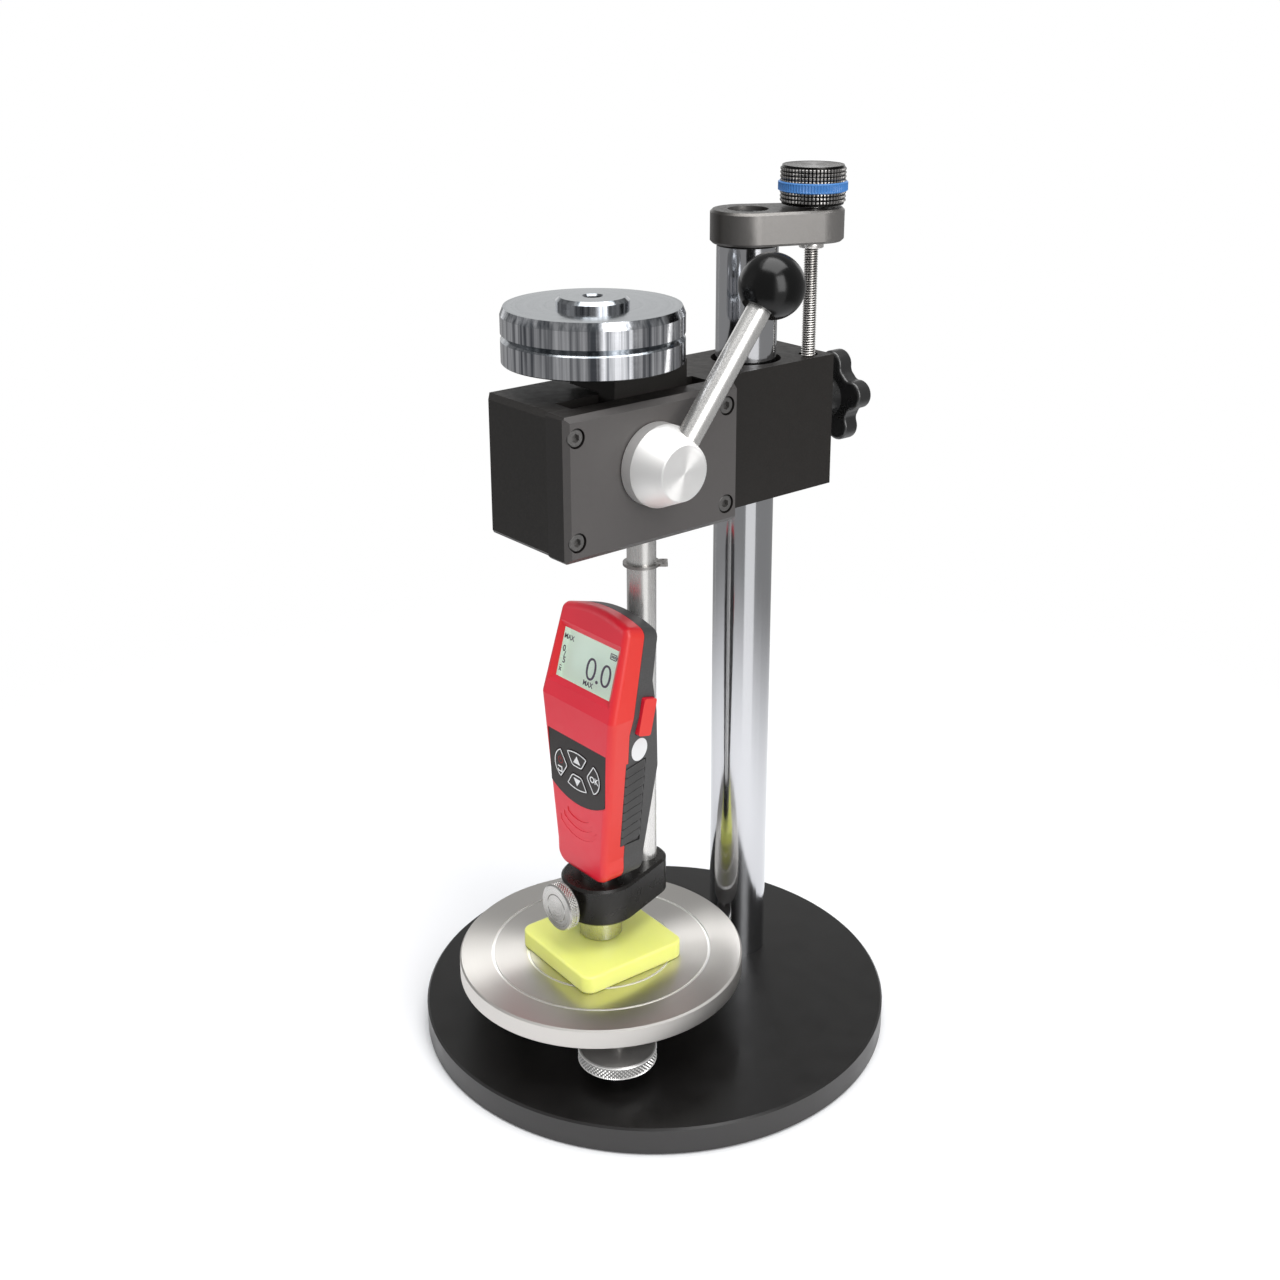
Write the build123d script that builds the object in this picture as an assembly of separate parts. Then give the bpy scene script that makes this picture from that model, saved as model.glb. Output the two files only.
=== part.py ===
from build123d import *
from math import acos, asin, cos, degrees, hypot, pi, radians, sin, sqrt, tan
import os

# Durometer on its constant-load test stand: a round base with a chrome column, an arm that slides
# on the column and is set by a lift spindle, a plunger with two ring weights that a lever raises
# through a rack and pinion, and a digital hardness gauge clamped to the plunger over a levelling table.
# Millimetres, +Z up, -Y towards the user. The origin is the centre of the base's underside.

os.makedirs("parts", exist_ok=True)

# Fits shared by the whole stand
running = 0.05          # radial clearance of a shaft in its bearing or a screw in its thread
seated = 0.02           # radial clearance of a piece that is fixed in its hole
apart = 0.3             # gap between two bodies that don't bear on each other
hole_clear = 0.5        # added to a screw's diameter where it passes through a hole
head_sink = 0.5         # how far a sunk screw head lies under the face
tap_run_out = 3.0       # how far a tapped hole goes on past its screw
small_edge = 0.4        # bevel on small turned pieces
pin_edge = 0.6          # bevel on the ends of pins and bars

# Base
base_d = 200.0
base_t = 12.0
base_edge = 0.8
socket_depth = 3.0      # how deep the column and the table post stand in the base

# Column
column_d = 25.0
column_y = 49.0
column_len = 325.0
column_edge = 1.0
column_screw_d = 8.0
column_screw_len = 15.0

# Top bracket
bracket_t = 13.3
bracket_r = 15.2        # round end over the column
bracket_spindle_r = 13.0
bracket_edge = 1.0
bracket_cbore_d = 16.4
bracket_cbore_depth = 9.3

# Socket head screws
cap_head_d = 13.0       # M8 head
cap_head_h = 8.0
cap_hex = 6.0
low_head_h = 5.0

# Levelling table
table_d = 120.0
table_y = -29.8
table_top = 42.0
table_t = 8.8
table_edge = 0.7
groove_radii = (46.0, 31.0)
groove_w = 1.2
groove_depth = 0.6
table_drop = 3.0        # how far the levelling screws let the table down
post_d = 16.0
post_head = 3.5         # how far the post stands up in the table's bore
sleeve_wall = 5.0
sleeve_len = 13.0
level_inset = 16.0      # from the table's rim to the screws' axes
level_angles = (-30.0, 90.0, 210.0)
level_screw_d = 6.0
level_disc_d = 32.0
level_disc_t = 6.0
level_disc_z = 18.0
level_disc_edge = 0.7
level_stud_sink = 2.5   # how far a levelling screw stays under the table's face
level_boss_d = 16.0
level_boss_len = 5.2
level_tip_r = 4.0
level_tip_rise = 2.5    # centre of the ball tip over the base

# Test block
block_w = 50.0
block_t = 7.8
block_corner = 5.0
block_edge = 1.0
block_x = 2.0
block_y = -31.0
block_turn = -3.0

# Arm
arm_w = 38.0
arm_front = -66.7
arm_rear = 81.5
arm_top = 287.0
arm_h = 55.5
arm_edge = 2.0
arm_small_edge = 0.6
collar_gap = 1.9        # open ring round the column at the arm's top face
collar_depth = 3.0
pocket_x = 10.4         # inner wall of the rack pocket
pocket_front = -56.0
pocket_rear = 10.6
pocket_floor = 4.5

# Side cover
cover_t = 11.7
cover_len = 82.5
cover_recess = 1.5
cover_screw_inset_y = 4.9
cover_screw_inset_z = 8.0
cover_screw_d = 4.0
cover_head_d = 7.0
cover_cbore_d = 7.6
cover_cbore_depth = 4.2
cover_screw_len = 20.0
cover_hex = 3.0

# Plunger
rod_d = 12.0
rod_y = -6.7
rod_bottom = 61.5
rod_spigot_d = 8.0
rod_spigot_len = 7.0
rod_bush_wall = 2.0
rod_bush_len = 20.0
clip_z = 210.0
clip_t = 1.2
clip_w = 1.6
clip_ear = 3.6
clip_gap = 2.4
clip_hole_d = 1.0
clip_turn = 51.0
lift = 10.0             # stroke of the plunger

# Carrier and rack
carrier_left = -7.0
carrier_front = -35.8
carrier_rear = -0.6
carrier_h = 9.4
carrier_lip_h = 10.0    # how far the carrier's front lip hangs into the pocket
carrier_leg_len = 47.0
rack_back = -11.5
rack_end = 1.0          # from the leg's lower end to the rack
rack_screw_d = 3.0
rack_head_d = 5.5
rack_head_h = 3.0
rack_hex = 2.5
rack_screw_end = 6.0    # from the leg's lower end to the first screw
rack_screw_step = 22.0
rack_tap_len = 3.5

# Weights
weight_d = 69.9
weight_lower_h = 10.1
weight_upper_h = 11.2
weight_edge = 1.3
weight_top_bevel = (1.2, 3.0)
hub_boss_d = 28.0
hub_boss_h = 3.4
hub_boss_edge = 1.4
stud_d = 8.0
weight_thread_d = 6.8
weight_thread_len = 9.1
weight_thread_sink = 0.8

# Lever and pinion
lever_y = -26.0
lever_z = 263.2
module = 1.0
dedendum = 1.25         # depth of a tooth's root under the pitch line, in modules
teeth = 19
pressure_angle = 20.0
backlash = 0.16
shaft_d = 10.0
shaft_bush_wall = 2.0
shaft_bush_len = 10.0
hub_d = 32.0
hub_face_d = 22.0
hub_rim = 5.5
hub_len = 17.6
hub_cap = 4.0           # solid face of the hub over the shaft's end
lever_x = 41.0
lever_angle = 51.4
lever_rod_d = 9.5
lever_len = 79.2        # shaft axis to ball centre
ball_d = 25.5
ball_flat_d = 14.0
ball_tap = 2.2          # how far the lever's hole goes past the ball's centre

# Lift spindle
spindle_x = 12.0
spindle_y = 73.0
spindle_d = 6.0
spindle_collar_d = 10.0
spindle_collar_t = 2.7
spindle_hole_d = 8.0
spindle_nut_d = 11.0
spindle_nut_len = 12.0
spindle_nut_low = 4.0   # the nut's height over the arm's underside
spindle_low = 1.5       # the spindle's end over the arm's underside
knob_cap = 2.0          # solid top of the knob over its bore
knob_d = 26.4
knob_h = 15.4
knob_gap = 1.3
knob_edge = 0.8
ring_d = 28.0
ring_h = 6.1
ring_low = 5.1          # height of the ring's lower edge on the knob
ring_seat = 1.0

# Clamp knob
star_d = 40.0
star_lobes = 5
star_lobe_r = 6.0
star_valley = 3.5
star_h = 8.0
star_hub_d = 15.0
star_hub_len = 14.5
star_edge = 1.4
star_turn = -10.0
clamp_stud_d = 8.0
clamp_pad_t = 3.4
clamp_pad_hollow = 0.7  # depth of the pad's hollow face on the column

# Gauge clamp and presser foot
gauge_clamp_r = 16.4
gauge_clamp_rod_r = 10.0
gauge_clamp_h = 16.5
gauge_clamp_edge = 1.0
foot_d = 18.0
neck_d = 16.0
neck_bore_d = 7.0
neck_len = 30.0
indenter_d = 2.5
indenter_travel = 2.5
indenter_tip_d = 0.8
indenter_low = 0.1      # the tip's height over the foot's face at rest
indenter_len = 40.8
indenter_collar_d = 5.0
indenter_collar_t = 2.0
indenter_cone = 17.5    # half angle of the truncated cone
foot_plate = 2.5        # thickness of the foot round its hole
cell_w = 14.0
cell_depth = 10.0
cell_h = 8.0
set_screw_hex = 2.5
set_screw_socket = 1.6
thumb_d = 20.0
thumb_h = 5.1
thumb_neck_d = 8.0
thumb_neck_len = 1.5
thumb_screw_d = 5.0

# Gauge housing, seen from the front (half widths at heights) and from the side (depths at heights)
gauge_bottom = 81.0
gauge_waist = 92.0      # below this the handle's sides are upright
gauge_half_bottom = 16.3
gauge_half_knee = 23.6
gauge_half_shoulder = 21.5
gauge_knee = 157.0
gauge_shoulder = 193.0
gauge_crown_up = 41.8   # top of the crown along the face from the knee
gauge_crown_r = 72.0
gauge_corner = 4.0
gauge_foot_corner = 6.5
front_bottom_y = -40.4
front_knee_y = -41.6
face_tilt = 15.2        # the display face leans back from the knee
back_profile = [(81.0, -20.0), (131.0, -14.8), (170.0, -19.2), (206.0, -12.4)]
wall = 1.8
seam_gap = 0.15
seam_profile = [(70.0, -30.3), (96.0, -30.3), (150.0, -32.0), (190.0, -23.2), (210.0, -22.0)]
front_edge = 3.0
back_edge = 1.6

# Display, keys and inner pieces
lcd_w = 35.0
lcd_h = 20.6
lcd_up = 18.7           # centre of the display along the face from the knee
bezel = 2.4             # slanted rim round the display
bezel_depth = 1.5
window_t = 1.0
module_t = 3.0
module_margin = 1.5
keypad_w = 38.4
keypad_top = 142.0
keypad_bottom = 118.5
keypad_belly = 5.0
keypad_t = 0.8
key_z = 128.5
key_gap = 0.25
key_ring_inner = 1.6    # inner and outer edge of the up and down keys from the ring's middle
key_ring_outer = 7.4
key_bulge = 1.2
key_fan_low = 3.2
key_fan_high = 6.9
key_wing_tip = 6.0
key_wing_rim = 15.2
key_wing_half = 6.6
key_wing_bulge = 4.4
key_corner = 1.0
key_t = 2.2
key_room = 4.0          # depth of a key's hole through the front
keypad_narrow = 1.6     # how much the field's sides come in towards the belly
keypad_sunk = 0.2
board_t = 1.6
board_w = 28.0
board_low = 101.0
board_high = 153.0
board_y = -34.2         # front face of the board
post_small_d = 4.0
post_small_in = 4.0     # the board posts from the board's side and from its ends
post_small_up = 3.0
battery_d = 10.5
battery_len = 44.5
battery_y = -25.6
battery_low = 100.5
battery_gap = 0.4       # from the middle to each cell
battery_edge = 0.5
tray_wall = 1.0
side_button_w = 6.4
side_button_h = 15.6
side_button_y = -24.3
side_button_z = 156.5
side_button_turn = 13.0
side_button_proud = 1.4
side_button_corner = 1.0
side_button_back = 0.4  # how far the button reaches past the shell's wall
grip_top = 137.0
grip_bottom = 98.0
grip_front_y = -32.6
grip_rear_y = -22.4
grip_t = 1.6
grip_proud = 0.7
grip_ribs = 9
grip_rib_tilt = 14.0
grip_groove = (1.2, 14.0, 1.0)
grip_fit = 0.05
groove_low = 107.0      # the finger grooves: height of the first, step, radius and width
groove_step = 4.2
groove_r = 13.0
groove_r_step = 2.0
groove_line = 1.8
groove_reach = 14.0
groove_reach_step = 5.0
groove_in = 0.6
shell_screw_d = 3.0
shell_screw_head_d = 5.5
shell_screw_head_h = 2.0
shell_screw_hex = 2.0
shell_screw_len = 10.0
shell_screw_sink = 2.4
shell_screw_places = ((11.0, 95.5), (17.0, 159.0))
shell_boss_d = 6.0
shell_boss_len = 7.0

# Places that follow from the sizes above
column_bottom = base_t - socket_depth
column_top = column_bottom + column_len
bracket_top = column_top + bracket_t
table_bottom = table_top - table_t
level_r = table_d / 2 - level_inset
arm_bottom = arm_top - arm_h
arm_side = arm_w / 2
cover_face = arm_side + cover_t
cover_rear = arm_front + cover_len
pocket_bottom = arm_bottom + pocket_floor
pocket_outer = arm_side + cover_recess
block_top = table_top + block_t
foot_bottom = block_top + apart
clamp_top = rod_bottom + gauge_clamp_h
clamp_mid = rod_bottom + gauge_clamp_h / 2
carrier_bottom = arm_top + 1.0
carrier_top = carrier_bottom + carrier_h
carrier_side = pocket_outer - apart
carrier_inner = pocket_x + apart
weight_joint = carrier_top + weight_lower_h
weight_top = weight_joint + weight_upper_h
pitch_r = module * teeth / 2
rack_pitch_y = lever_y + pitch_r
crown_low = gauge_knee + 0.75 * gauge_crown_up


def box(x0, x1, y0, y1, z0, z1):
    """A block between two corners."""
    return Pos((x0 + x1) / 2, (y0 + y1) / 2, (z0 + z1) / 2) * Box(x1 - x0, y1 - y0, z1 - z0)


def rod(d, z0, z1, x=0.0, y=0.0):
    """An upright cylinder."""
    return Pos(x, y, (z0 + z1) / 2) * Cylinder(d / 2, z1 - z0)


def along_x(shape, x, y, z):
    """Turns a piece made along +Z to lie along +X from a point."""
    return Pos(x, y, z) * Rot(0, 90, 0) * shape


def along_y(shape, x, y, z):
    """Turns a piece made along +Z to lie along +Y from a point."""
    return Pos(x, y, z) * Rot(-90, 0, 0) * shape


def turned(profile):
    """A turned piece about Z from its half section, given as radius and height."""
    outline = Polyline(*[(r, 0, z) for r, z in profile], close=True)
    return revolve(make_face(outline), Axis.Z)


def plain_cylinder(d, length, edge=0.0):
    """A turned pin along +Z from zero, with both ends bevelled."""
    r = d / 2
    return turned([(0, 0), (r - edge, 0), (r, edge), (r, length - edge), (r - edge, length), (0, length)]
                  if edge else [(0, 0), (r, 0), (r, length), (0, length)])


def tube(outer_d, inner_d, length):
    """A plain bush along +Z from zero."""
    return turned([(inner_d / 2, 0), (outer_d / 2, 0), (outer_d / 2, length), (inner_d / 2, length)])


def cap_screw(d, length, head_d, head_h, hex_w):
    """A socket head screw: the head's underside is at zero, its shank points down."""
    edge = 0.06 * head_d
    body = turned([(0, -length), (d / 2, -length), (d / 2, 0), (head_d / 2, 0), (head_d / 2, head_h - edge),
                   (head_d / 2 - edge, head_h), (0, head_h)])
    socket_depth_here = head_h / 2
    hexagon = RegularPolygon(hex_w / sqrt(3), 6)
    return body - Pos(0, 0, head_h - socket_depth_here) * extrude(hexagon, socket_depth_here)


def hull_of_two(centre_a, r_a, centre_b, r_b):
    """The outline round two circles, as on a strap."""
    circles = Pos(*centre_a) * Circle(r_a) + Pos(*centre_b) * Circle(r_b)
    return make_hull(circles.edges())


def level_points():
    """The three levelling screws' axes."""
    return [(level_r * cos(radians(a)), table_y + level_r * sin(radians(a))) for a in level_angles]


def save(node, shape):
    """Writes one node."""
    export_step(shape, f"parts/{node}.step")


# Base and column

def base_plate():
    r, e = base_d / 2, base_edge
    plate = turned([(0, 0), (r - e, 0), (r, e), (r, base_t - e), (r - e, base_t), (0, base_t)])
    cbore = low_head_h + head_sink
    for y, seat_d in ((column_y, column_d), (table_y, post_d)):
        plate -= rod(seat_d + 2 * seated, column_bottom, base_t, y=y)
        plate -= rod(column_screw_d + 2 * hole_clear, 0, base_t, y=y)
        plate -= rod(cap_head_d + 2 * hole_clear, 0, cbore, y=y)
    for x, y in level_points():
        plate -= Pos(x, y, base_t + level_tip_rise) * Sphere(level_tip_r + running)
    return plate


def base_screws():
    """They hold the column and the table post from under the base."""
    head_z = low_head_h + head_sink
    shank = column_bottom - head_z + column_screw_len
    screw = Rot(180, 0, 0) * cap_screw(column_screw_d, shank, cap_head_d, low_head_h, cap_hex)
    return Compound([Pos(0, y, head_z) * screw for y in (column_y, table_y)])


def column():
    bar = Pos(0, column_y, column_bottom) * plain_cylinder(column_d, column_len, column_edge)
    tapped, depth = column_screw_d + 2 * seated, column_screw_len + tap_run_out
    bar -= rod(tapped, column_bottom, column_bottom + depth, y=column_y)
    bar -= rod(tapped, column_top - depth, column_top, y=column_y)
    return bar


def top_bracket():
    strap = hull_of_two((0, column_y), bracket_r, (spindle_x, spindle_y), bracket_spindle_r)
    plate = Pos(0, 0, column_top) * extrude(strap, bracket_t)
    rims = plate.edges().group_by(Axis.Z)
    plate = chamfer(rims[0] + rims[-1], bracket_edge)
    plate -= rod(column_screw_d + 2 * hole_clear, column_top, bracket_top, y=column_y)
    plate -= rod(bracket_cbore_d, bracket_top - bracket_cbore_depth, bracket_top, y=column_y)
    plate -= rod(spindle_d + 2 * running, column_top, bracket_top, spindle_x, spindle_y)
    return plate


def bracket_screw():
    seat = bracket_top - bracket_cbore_depth
    shank = seat - column_top + column_screw_len
    return Pos(0, column_y, seat) * cap_screw(column_screw_d, shank, cap_head_d, cap_head_h, cap_hex)


# Levelling table

def table_post():
    top = table_bottom + post_head
    post = Pos(0, table_y, column_bottom) * plain_cylinder(post_d, top - column_bottom, column_edge)
    tap_top = column_bottom + column_screw_len + tap_run_out
    return post - rod(column_screw_d + 2 * seated, column_bottom, tap_top, y=table_y)


def table():
    r, e, t = table_d / 2, table_edge, table_t
    sleeve_r = post_d / 2 + sleeve_wall
    disc = turned([(0, -sleeve_len), (sleeve_r, -sleeve_len), (sleeve_r, 0), (r - e, 0), (r, e), (r, t - e),
                   (r - e, t), (0, t)])
    for groove in groove_radii:
        inner, outer = groove - groove_w / 2, groove + groove_w / 2
        disc -= turned([(inner, t - groove_depth), (outer, t - groove_depth), (outer, t), (inner, t)])
    disc = Pos(0, table_y, table_bottom) * disc
    for x, y in level_points():
        disc += rod(level_boss_d, table_bottom - level_boss_len, table_bottom, x, y)
    stud_top = level_stud_top() + table_drop
    for x, y in level_points():
        disc -= rod(level_screw_d + 2 * running, table_bottom - level_boss_len, stud_top + apart, x, y)
    bore_top = table_bottom + post_head + table_drop + apart
    return disc - rod(post_d + 2 * running, table_bottom - sleeve_len, bore_top, y=table_y)


def level_stud_top():
    """Top of a levelling screw, under the table's top face when the table is right down."""
    return table_top - table_drop - level_stud_sink


def levelling_screw(x, y):
    r, e, neck = level_disc_d / 2, level_disc_edge, level_screw_d / 2
    top, tip = level_stud_top(), base_t + level_tip_rise
    low, high = level_disc_z, level_disc_z + level_disc_t
    disc = [(neck, low), (r - e, low), (r, low + e), (r, high - e), (r - e, high), (neck, high)]
    screw = turned([(0, tip), (neck, tip), *disc, (neck, top), (0, top)])
    return Pos(x, y, 0) * (screw + Pos(0, 0, tip) * Sphere(level_tip_r))


def test_block():
    plate = extrude(RectangleRounded(block_w, block_w, block_corner), block_t)
    rims = plate.edges().group_by(Axis.Z)
    plate = fillet(rims[0] + rims[-1], block_edge)
    return Pos(block_x, block_y, table_top) * Rot(0, 0, block_turn) * plate


# Arm

def arm_block():
    block = box(-arm_side, arm_side, arm_front, arm_rear, arm_bottom, arm_top)
    front = block.faces().sort_by(Axis.Y)[0]
    block = chamfer([e for e in front.edges() if e.center().X < arm_side - 1], arm_edge)
    rear = block.faces().sort_by(Axis.Y)[-1]
    return chamfer(rear.edges(), arm_small_edge)


def cover_screw_points():
    ys = (arm_front + cover_screw_inset_y, cover_rear - cover_screw_inset_y)
    zs = (arm_bottom + cover_screw_inset_z, arm_top - cover_screw_inset_z)
    return [(y, z) for y in ys for z in zs]


def arm_body():
    block = arm_block()
    block -= box(pocket_x, arm_side, pocket_front, pocket_rear, pocket_bottom, arm_top)
    block -= rod(column_d + 2 * running, arm_bottom, arm_top, y=column_y)
    block -= rod(column_d + 2 * collar_gap, arm_top - collar_depth, arm_top, y=column_y)
    block -= rod(rod_d + 1, arm_bottom, arm_top, y=rod_y)
    bush_d = rod_d + 2 * rod_bush_wall + 2 * seated
    block -= rod(bush_d, arm_bottom, arm_bottom + rod_bush_len, y=rod_y)
    block -= rod(bush_d, arm_top - rod_bush_len, arm_top, y=rod_y)
    shaft_seat = shaft_d + 2 * shaft_bush_wall + 2 * seated
    seat = plain_cylinder(shaft_seat, shaft_bush_len)
    block -= along_x(seat, pocket_x - shaft_bush_len, lever_y, lever_z)
    block -= rod(spindle_hole_d, arm_bottom, arm_top, spindle_x, spindle_y)
    block -= rod(spindle_nut_d + 2 * seated, arm_bottom, spindle_nut_top(), spindle_x, spindle_y)
    stud_seat = clamp_stud_d + 2 * running
    block -= along_y(plain_cylinder(stud_seat, arm_rear - column_y), 0, column_y, lever_z)
    reach = cover_screw_len - (cover_t - cover_cbore_depth) + tap_run_out
    for y, z in cover_screw_points():
        block -= along_x(plain_cylinder(cover_screw_d + 2 * seated, reach), arm_side - reach, y, z)
    return block


def spindle_nut_top():
    return arm_bottom + spindle_nut_low + spindle_nut_len


def arm_cover():
    plate = box(arm_side, cover_face, arm_front, cover_rear, arm_bottom, arm_top)
    face = plate.faces().sort_by(Axis.X)[-1]
    plate = chamfer([e for e in face.edges() if e.center().Y < cover_rear - 1], arm_edge)
    front_low = [e for e in plate.edges() if abs(e.center().Y - arm_front) < 0.01 and e.length < cover_t]
    plate = chamfer([e for e in front_low if abs(e.tangent_at(0).X) > 0.99], arm_edge / 2)
    plate -= box(arm_side, pocket_outer, pocket_front, pocket_rear, pocket_bottom, arm_top)
    bush_seat = shaft_d + 2 * shaft_bush_wall + 2 * seated
    plate -= along_x(plain_cylinder(bush_seat, cover_t), arm_side, lever_y, lever_z)
    cbore = plain_cylinder(cover_cbore_d, cover_cbore_depth)
    for y, z in cover_screw_points():
        plate -= along_x(plain_cylinder(cover_screw_d + hole_clear, cover_t), arm_side, y, z)
        plate -= along_x(cbore, cover_face - cover_cbore_depth, y, z)
    return plate


def cover_screws():
    head_h = cover_cbore_depth - head_sink
    screw = cap_screw(cover_screw_d, cover_screw_len, cover_head_d, head_h, cover_hex)
    seat_x = cover_face - cover_cbore_depth
    return Compound([along_x(screw, seat_x, y, z) for y, z in cover_screw_points()])


def rod_bushes():
    """The plunger's two bearings, pressed into the arm from below and from above."""
    bush = tube(rod_d + 2 * rod_bush_wall, rod_d + 2 * running, rod_bush_len)
    return Compound([Pos(0, rod_y, z) * bush for z in (arm_bottom, arm_top - rod_bush_len)])


def shaft_bushes():
    """The lever shaft's two bearings, one in the arm and one in the cover."""
    bushes = []
    for x0, x1 in ((pocket_x - shaft_bush_len, pocket_x), (pocket_outer, cover_face)):
        bush = tube(shaft_d + 2 * shaft_bush_wall, shaft_d + 2 * running, x1 - x0)
        bushes.append(along_x(bush, x0, lever_y, lever_z))
    return Compound(bushes)


def spindle_nut():
    nut = tube(spindle_nut_d, spindle_d + 2 * running, spindle_nut_len)
    return Pos(spindle_x, spindle_y, spindle_nut_top() - spindle_nut_len) * nut


def clamp_pad():
    r = column_d / 2 + 2 * running
    y0 = column_y + r - clamp_pad_hollow
    pad = along_y(plain_cylinder(clamp_stud_d - 2 * running, clamp_pad_t), 0, y0, lever_z)
    return pad - rod(2 * r, lever_z - clamp_stud_d, lever_z + clamp_stud_d, y=column_y)


# Lift spindle and its knob

def lift_spindle():
    r, collar = spindle_d / 2, spindle_collar_d / 2
    top = bracket_top + knob_gap + knob_h - knob_cap
    high = column_top - apart
    under = high - spindle_collar_t
    low = arm_bottom + spindle_low
    bar = turned([(0, low), (r, low), (r, under), (collar, under), (collar, high), (r, high), (r, top),
                  (0, top)])
    return Pos(spindle_x, spindle_y, 0) * bar


def spindle_knob():
    r, e = knob_d / 2, knob_edge
    seat = r - ring_seat
    ring_high = ring_low + ring_h
    knob = turned([(0, 0), (r - e, 0), (r, e), (r, ring_low), (seat, ring_low), (seat, ring_high),
                   (r, ring_high), (r, knob_h - e), (r - e, knob_h), (0, knob_h)])
    knob -= rod(spindle_d + 2 * seated, 0, knob_h - knob_cap)
    return Pos(spindle_x, spindle_y, bracket_top + knob_gap) * knob


def knob_ring():
    ring = tube(ring_d, knob_d - 2 * ring_seat + 2 * seated, ring_h)
    return Pos(spindle_x, spindle_y, bracket_top + knob_gap + ring_low) * ring


def thrust_washer():
    washer = tube(2 * spindle_d, spindle_d + 2 * running, knob_gap - apart)
    return Pos(spindle_x, spindle_y, bracket_top + apart) * washer


# Clamp knob

def clamp_knob():
    lobe_ring = star_d / 2 - star_lobe_r
    star = Circle(lobe_ring)
    for i in range(star_lobes):
        star += Rot(0, 0, star_turn + 360 * i / star_lobes) * Pos(lobe_ring, 0) * Circle(star_lobe_r)
    star = fillet(star.vertices(), star_valley)
    wheel = extrude(star, star_h)
    rims = wheel.edges().group_by(Axis.Z)
    wheel = fillet(rims[0] + rims[-1], star_edge)
    hub_r, low = star_hub_d / 2, -star_hub_len
    hub = turned([(0, low), (hub_r - 1, low), (hub_r, low + 1), (hub_r + 2, 1), (0, 1)])
    knob = wheel + hub
    knob -= Pos(0, 0, -star_hub_len) * plain_cylinder(clamp_stud_d + 2 * seated, star_hub_len + star_h / 2)
    return Pos(0, arm_rear + apart + star_hub_len, lever_z) * Rot(90, 0, 0) * Rot(180, 0, 0) * knob


def clamp_stud():
    y0 = column_y + column_d / 2 + clamp_pad_t - clamp_pad_hollow + 3 * running
    y1 = arm_rear + apart + star_hub_len + star_h / 2 - pin_edge
    return along_y(plain_cylinder(clamp_stud_d, y1 - y0), 0, y0, lever_z)


# Lever, shaft and pinion

def tooth_flank(r):
    """Half the angle of an involute tooth at a radius."""
    base_r = pitch_r * cos(radians(pressure_angle))
    involute = (lambda a: tan(a) - a)
    half = pi / (2 * teeth) - backlash / (4 * pitch_r)
    at = acos(min(1.0, base_r / max(r, base_r)))
    return half + involute(radians(pressure_angle)) - involute(at)


def pinion():
    radii = [pitch_r + step * module for step in (-dedendum, -0.55, 0, 0.5, 1)]
    points = []
    for i in range(teeth):
        middle = 2 * pi * (i + 0.5) / teeth
        for side in (-1, 1):
            for r in radii[::-side]:
                a = middle + side * tooth_flank(r)
                points.append((r * cos(a), r * sin(a)))
    gear = extrude(make_face(Polyline(*points, close=True)), carrier_side - carrier_inner - 2 * apart)
    gear -= rod(shaft_d + 2 * seated, 0, carrier_side)
    return Pos(carrier_inner + apart, lever_y, lever_z) * Rot(0, 90, 0) * Rot(0, 0, 90) * gear


def lever_shaft():
    x0 = pocket_x - shaft_bush_len + 1
    x1 = cover_face + apart + hub_len - hub_cap
    return along_x(plain_cylinder(shaft_d, x1 - x0, pin_edge), x0, lever_y, lever_z)


def lever_direction():
    return Pos(lever_x, lever_y, lever_z) * Rot(lever_angle - 90, 0, 0)


def lever_hub():
    r, face, e = hub_d / 2, hub_face_d / 2, small_edge
    hub = turned([(0, 0), (r - e, 0), (r, e), (r, hub_rim), (face, hub_len - e), (face - e, hub_len),
                  (0, hub_len)])
    hub -= rod(shaft_d + 2 * seated, 0, hub_len - hub_cap)
    hub = along_x(hub, cover_face + apart, lever_y, lever_z)
    return hub - lever_direction() * rod(lever_rod_d + 2 * seated, shaft_d / 2 + 1, hub_d)


def lever_rod():
    inner = shaft_d / 2 + 1 + 2 * seated
    outer = lever_len + ball_tap - 2 * seated
    return lever_direction() * Pos(0, 0, inner) * plain_cylinder(lever_rod_d, outer - inner, pin_edge)


def lever_ball():
    flat = sqrt((ball_d / 2) ** 2 - (ball_flat_d / 2) ** 2)
    ball = Sphere(ball_d / 2) - Pos(0, 0, -flat - ball_d / 2) * Box(ball_d, ball_d, ball_d)
    ball -= rod(lever_rod_d + 2 * seated, -ball_d, ball_tap)
    return lever_direction() * Pos(0, 0, lever_len) * ball


# Plunger, carrier, rack and weights

def plunger_rod():
    bar = Pos(0, rod_y, rod_bottom) * plain_cylinder(rod_d, carrier_bottom - rod_bottom, pin_edge)
    return bar + rod(rod_spigot_d, carrier_bottom - 1, carrier_bottom + rod_spigot_len, y=rod_y)


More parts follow.
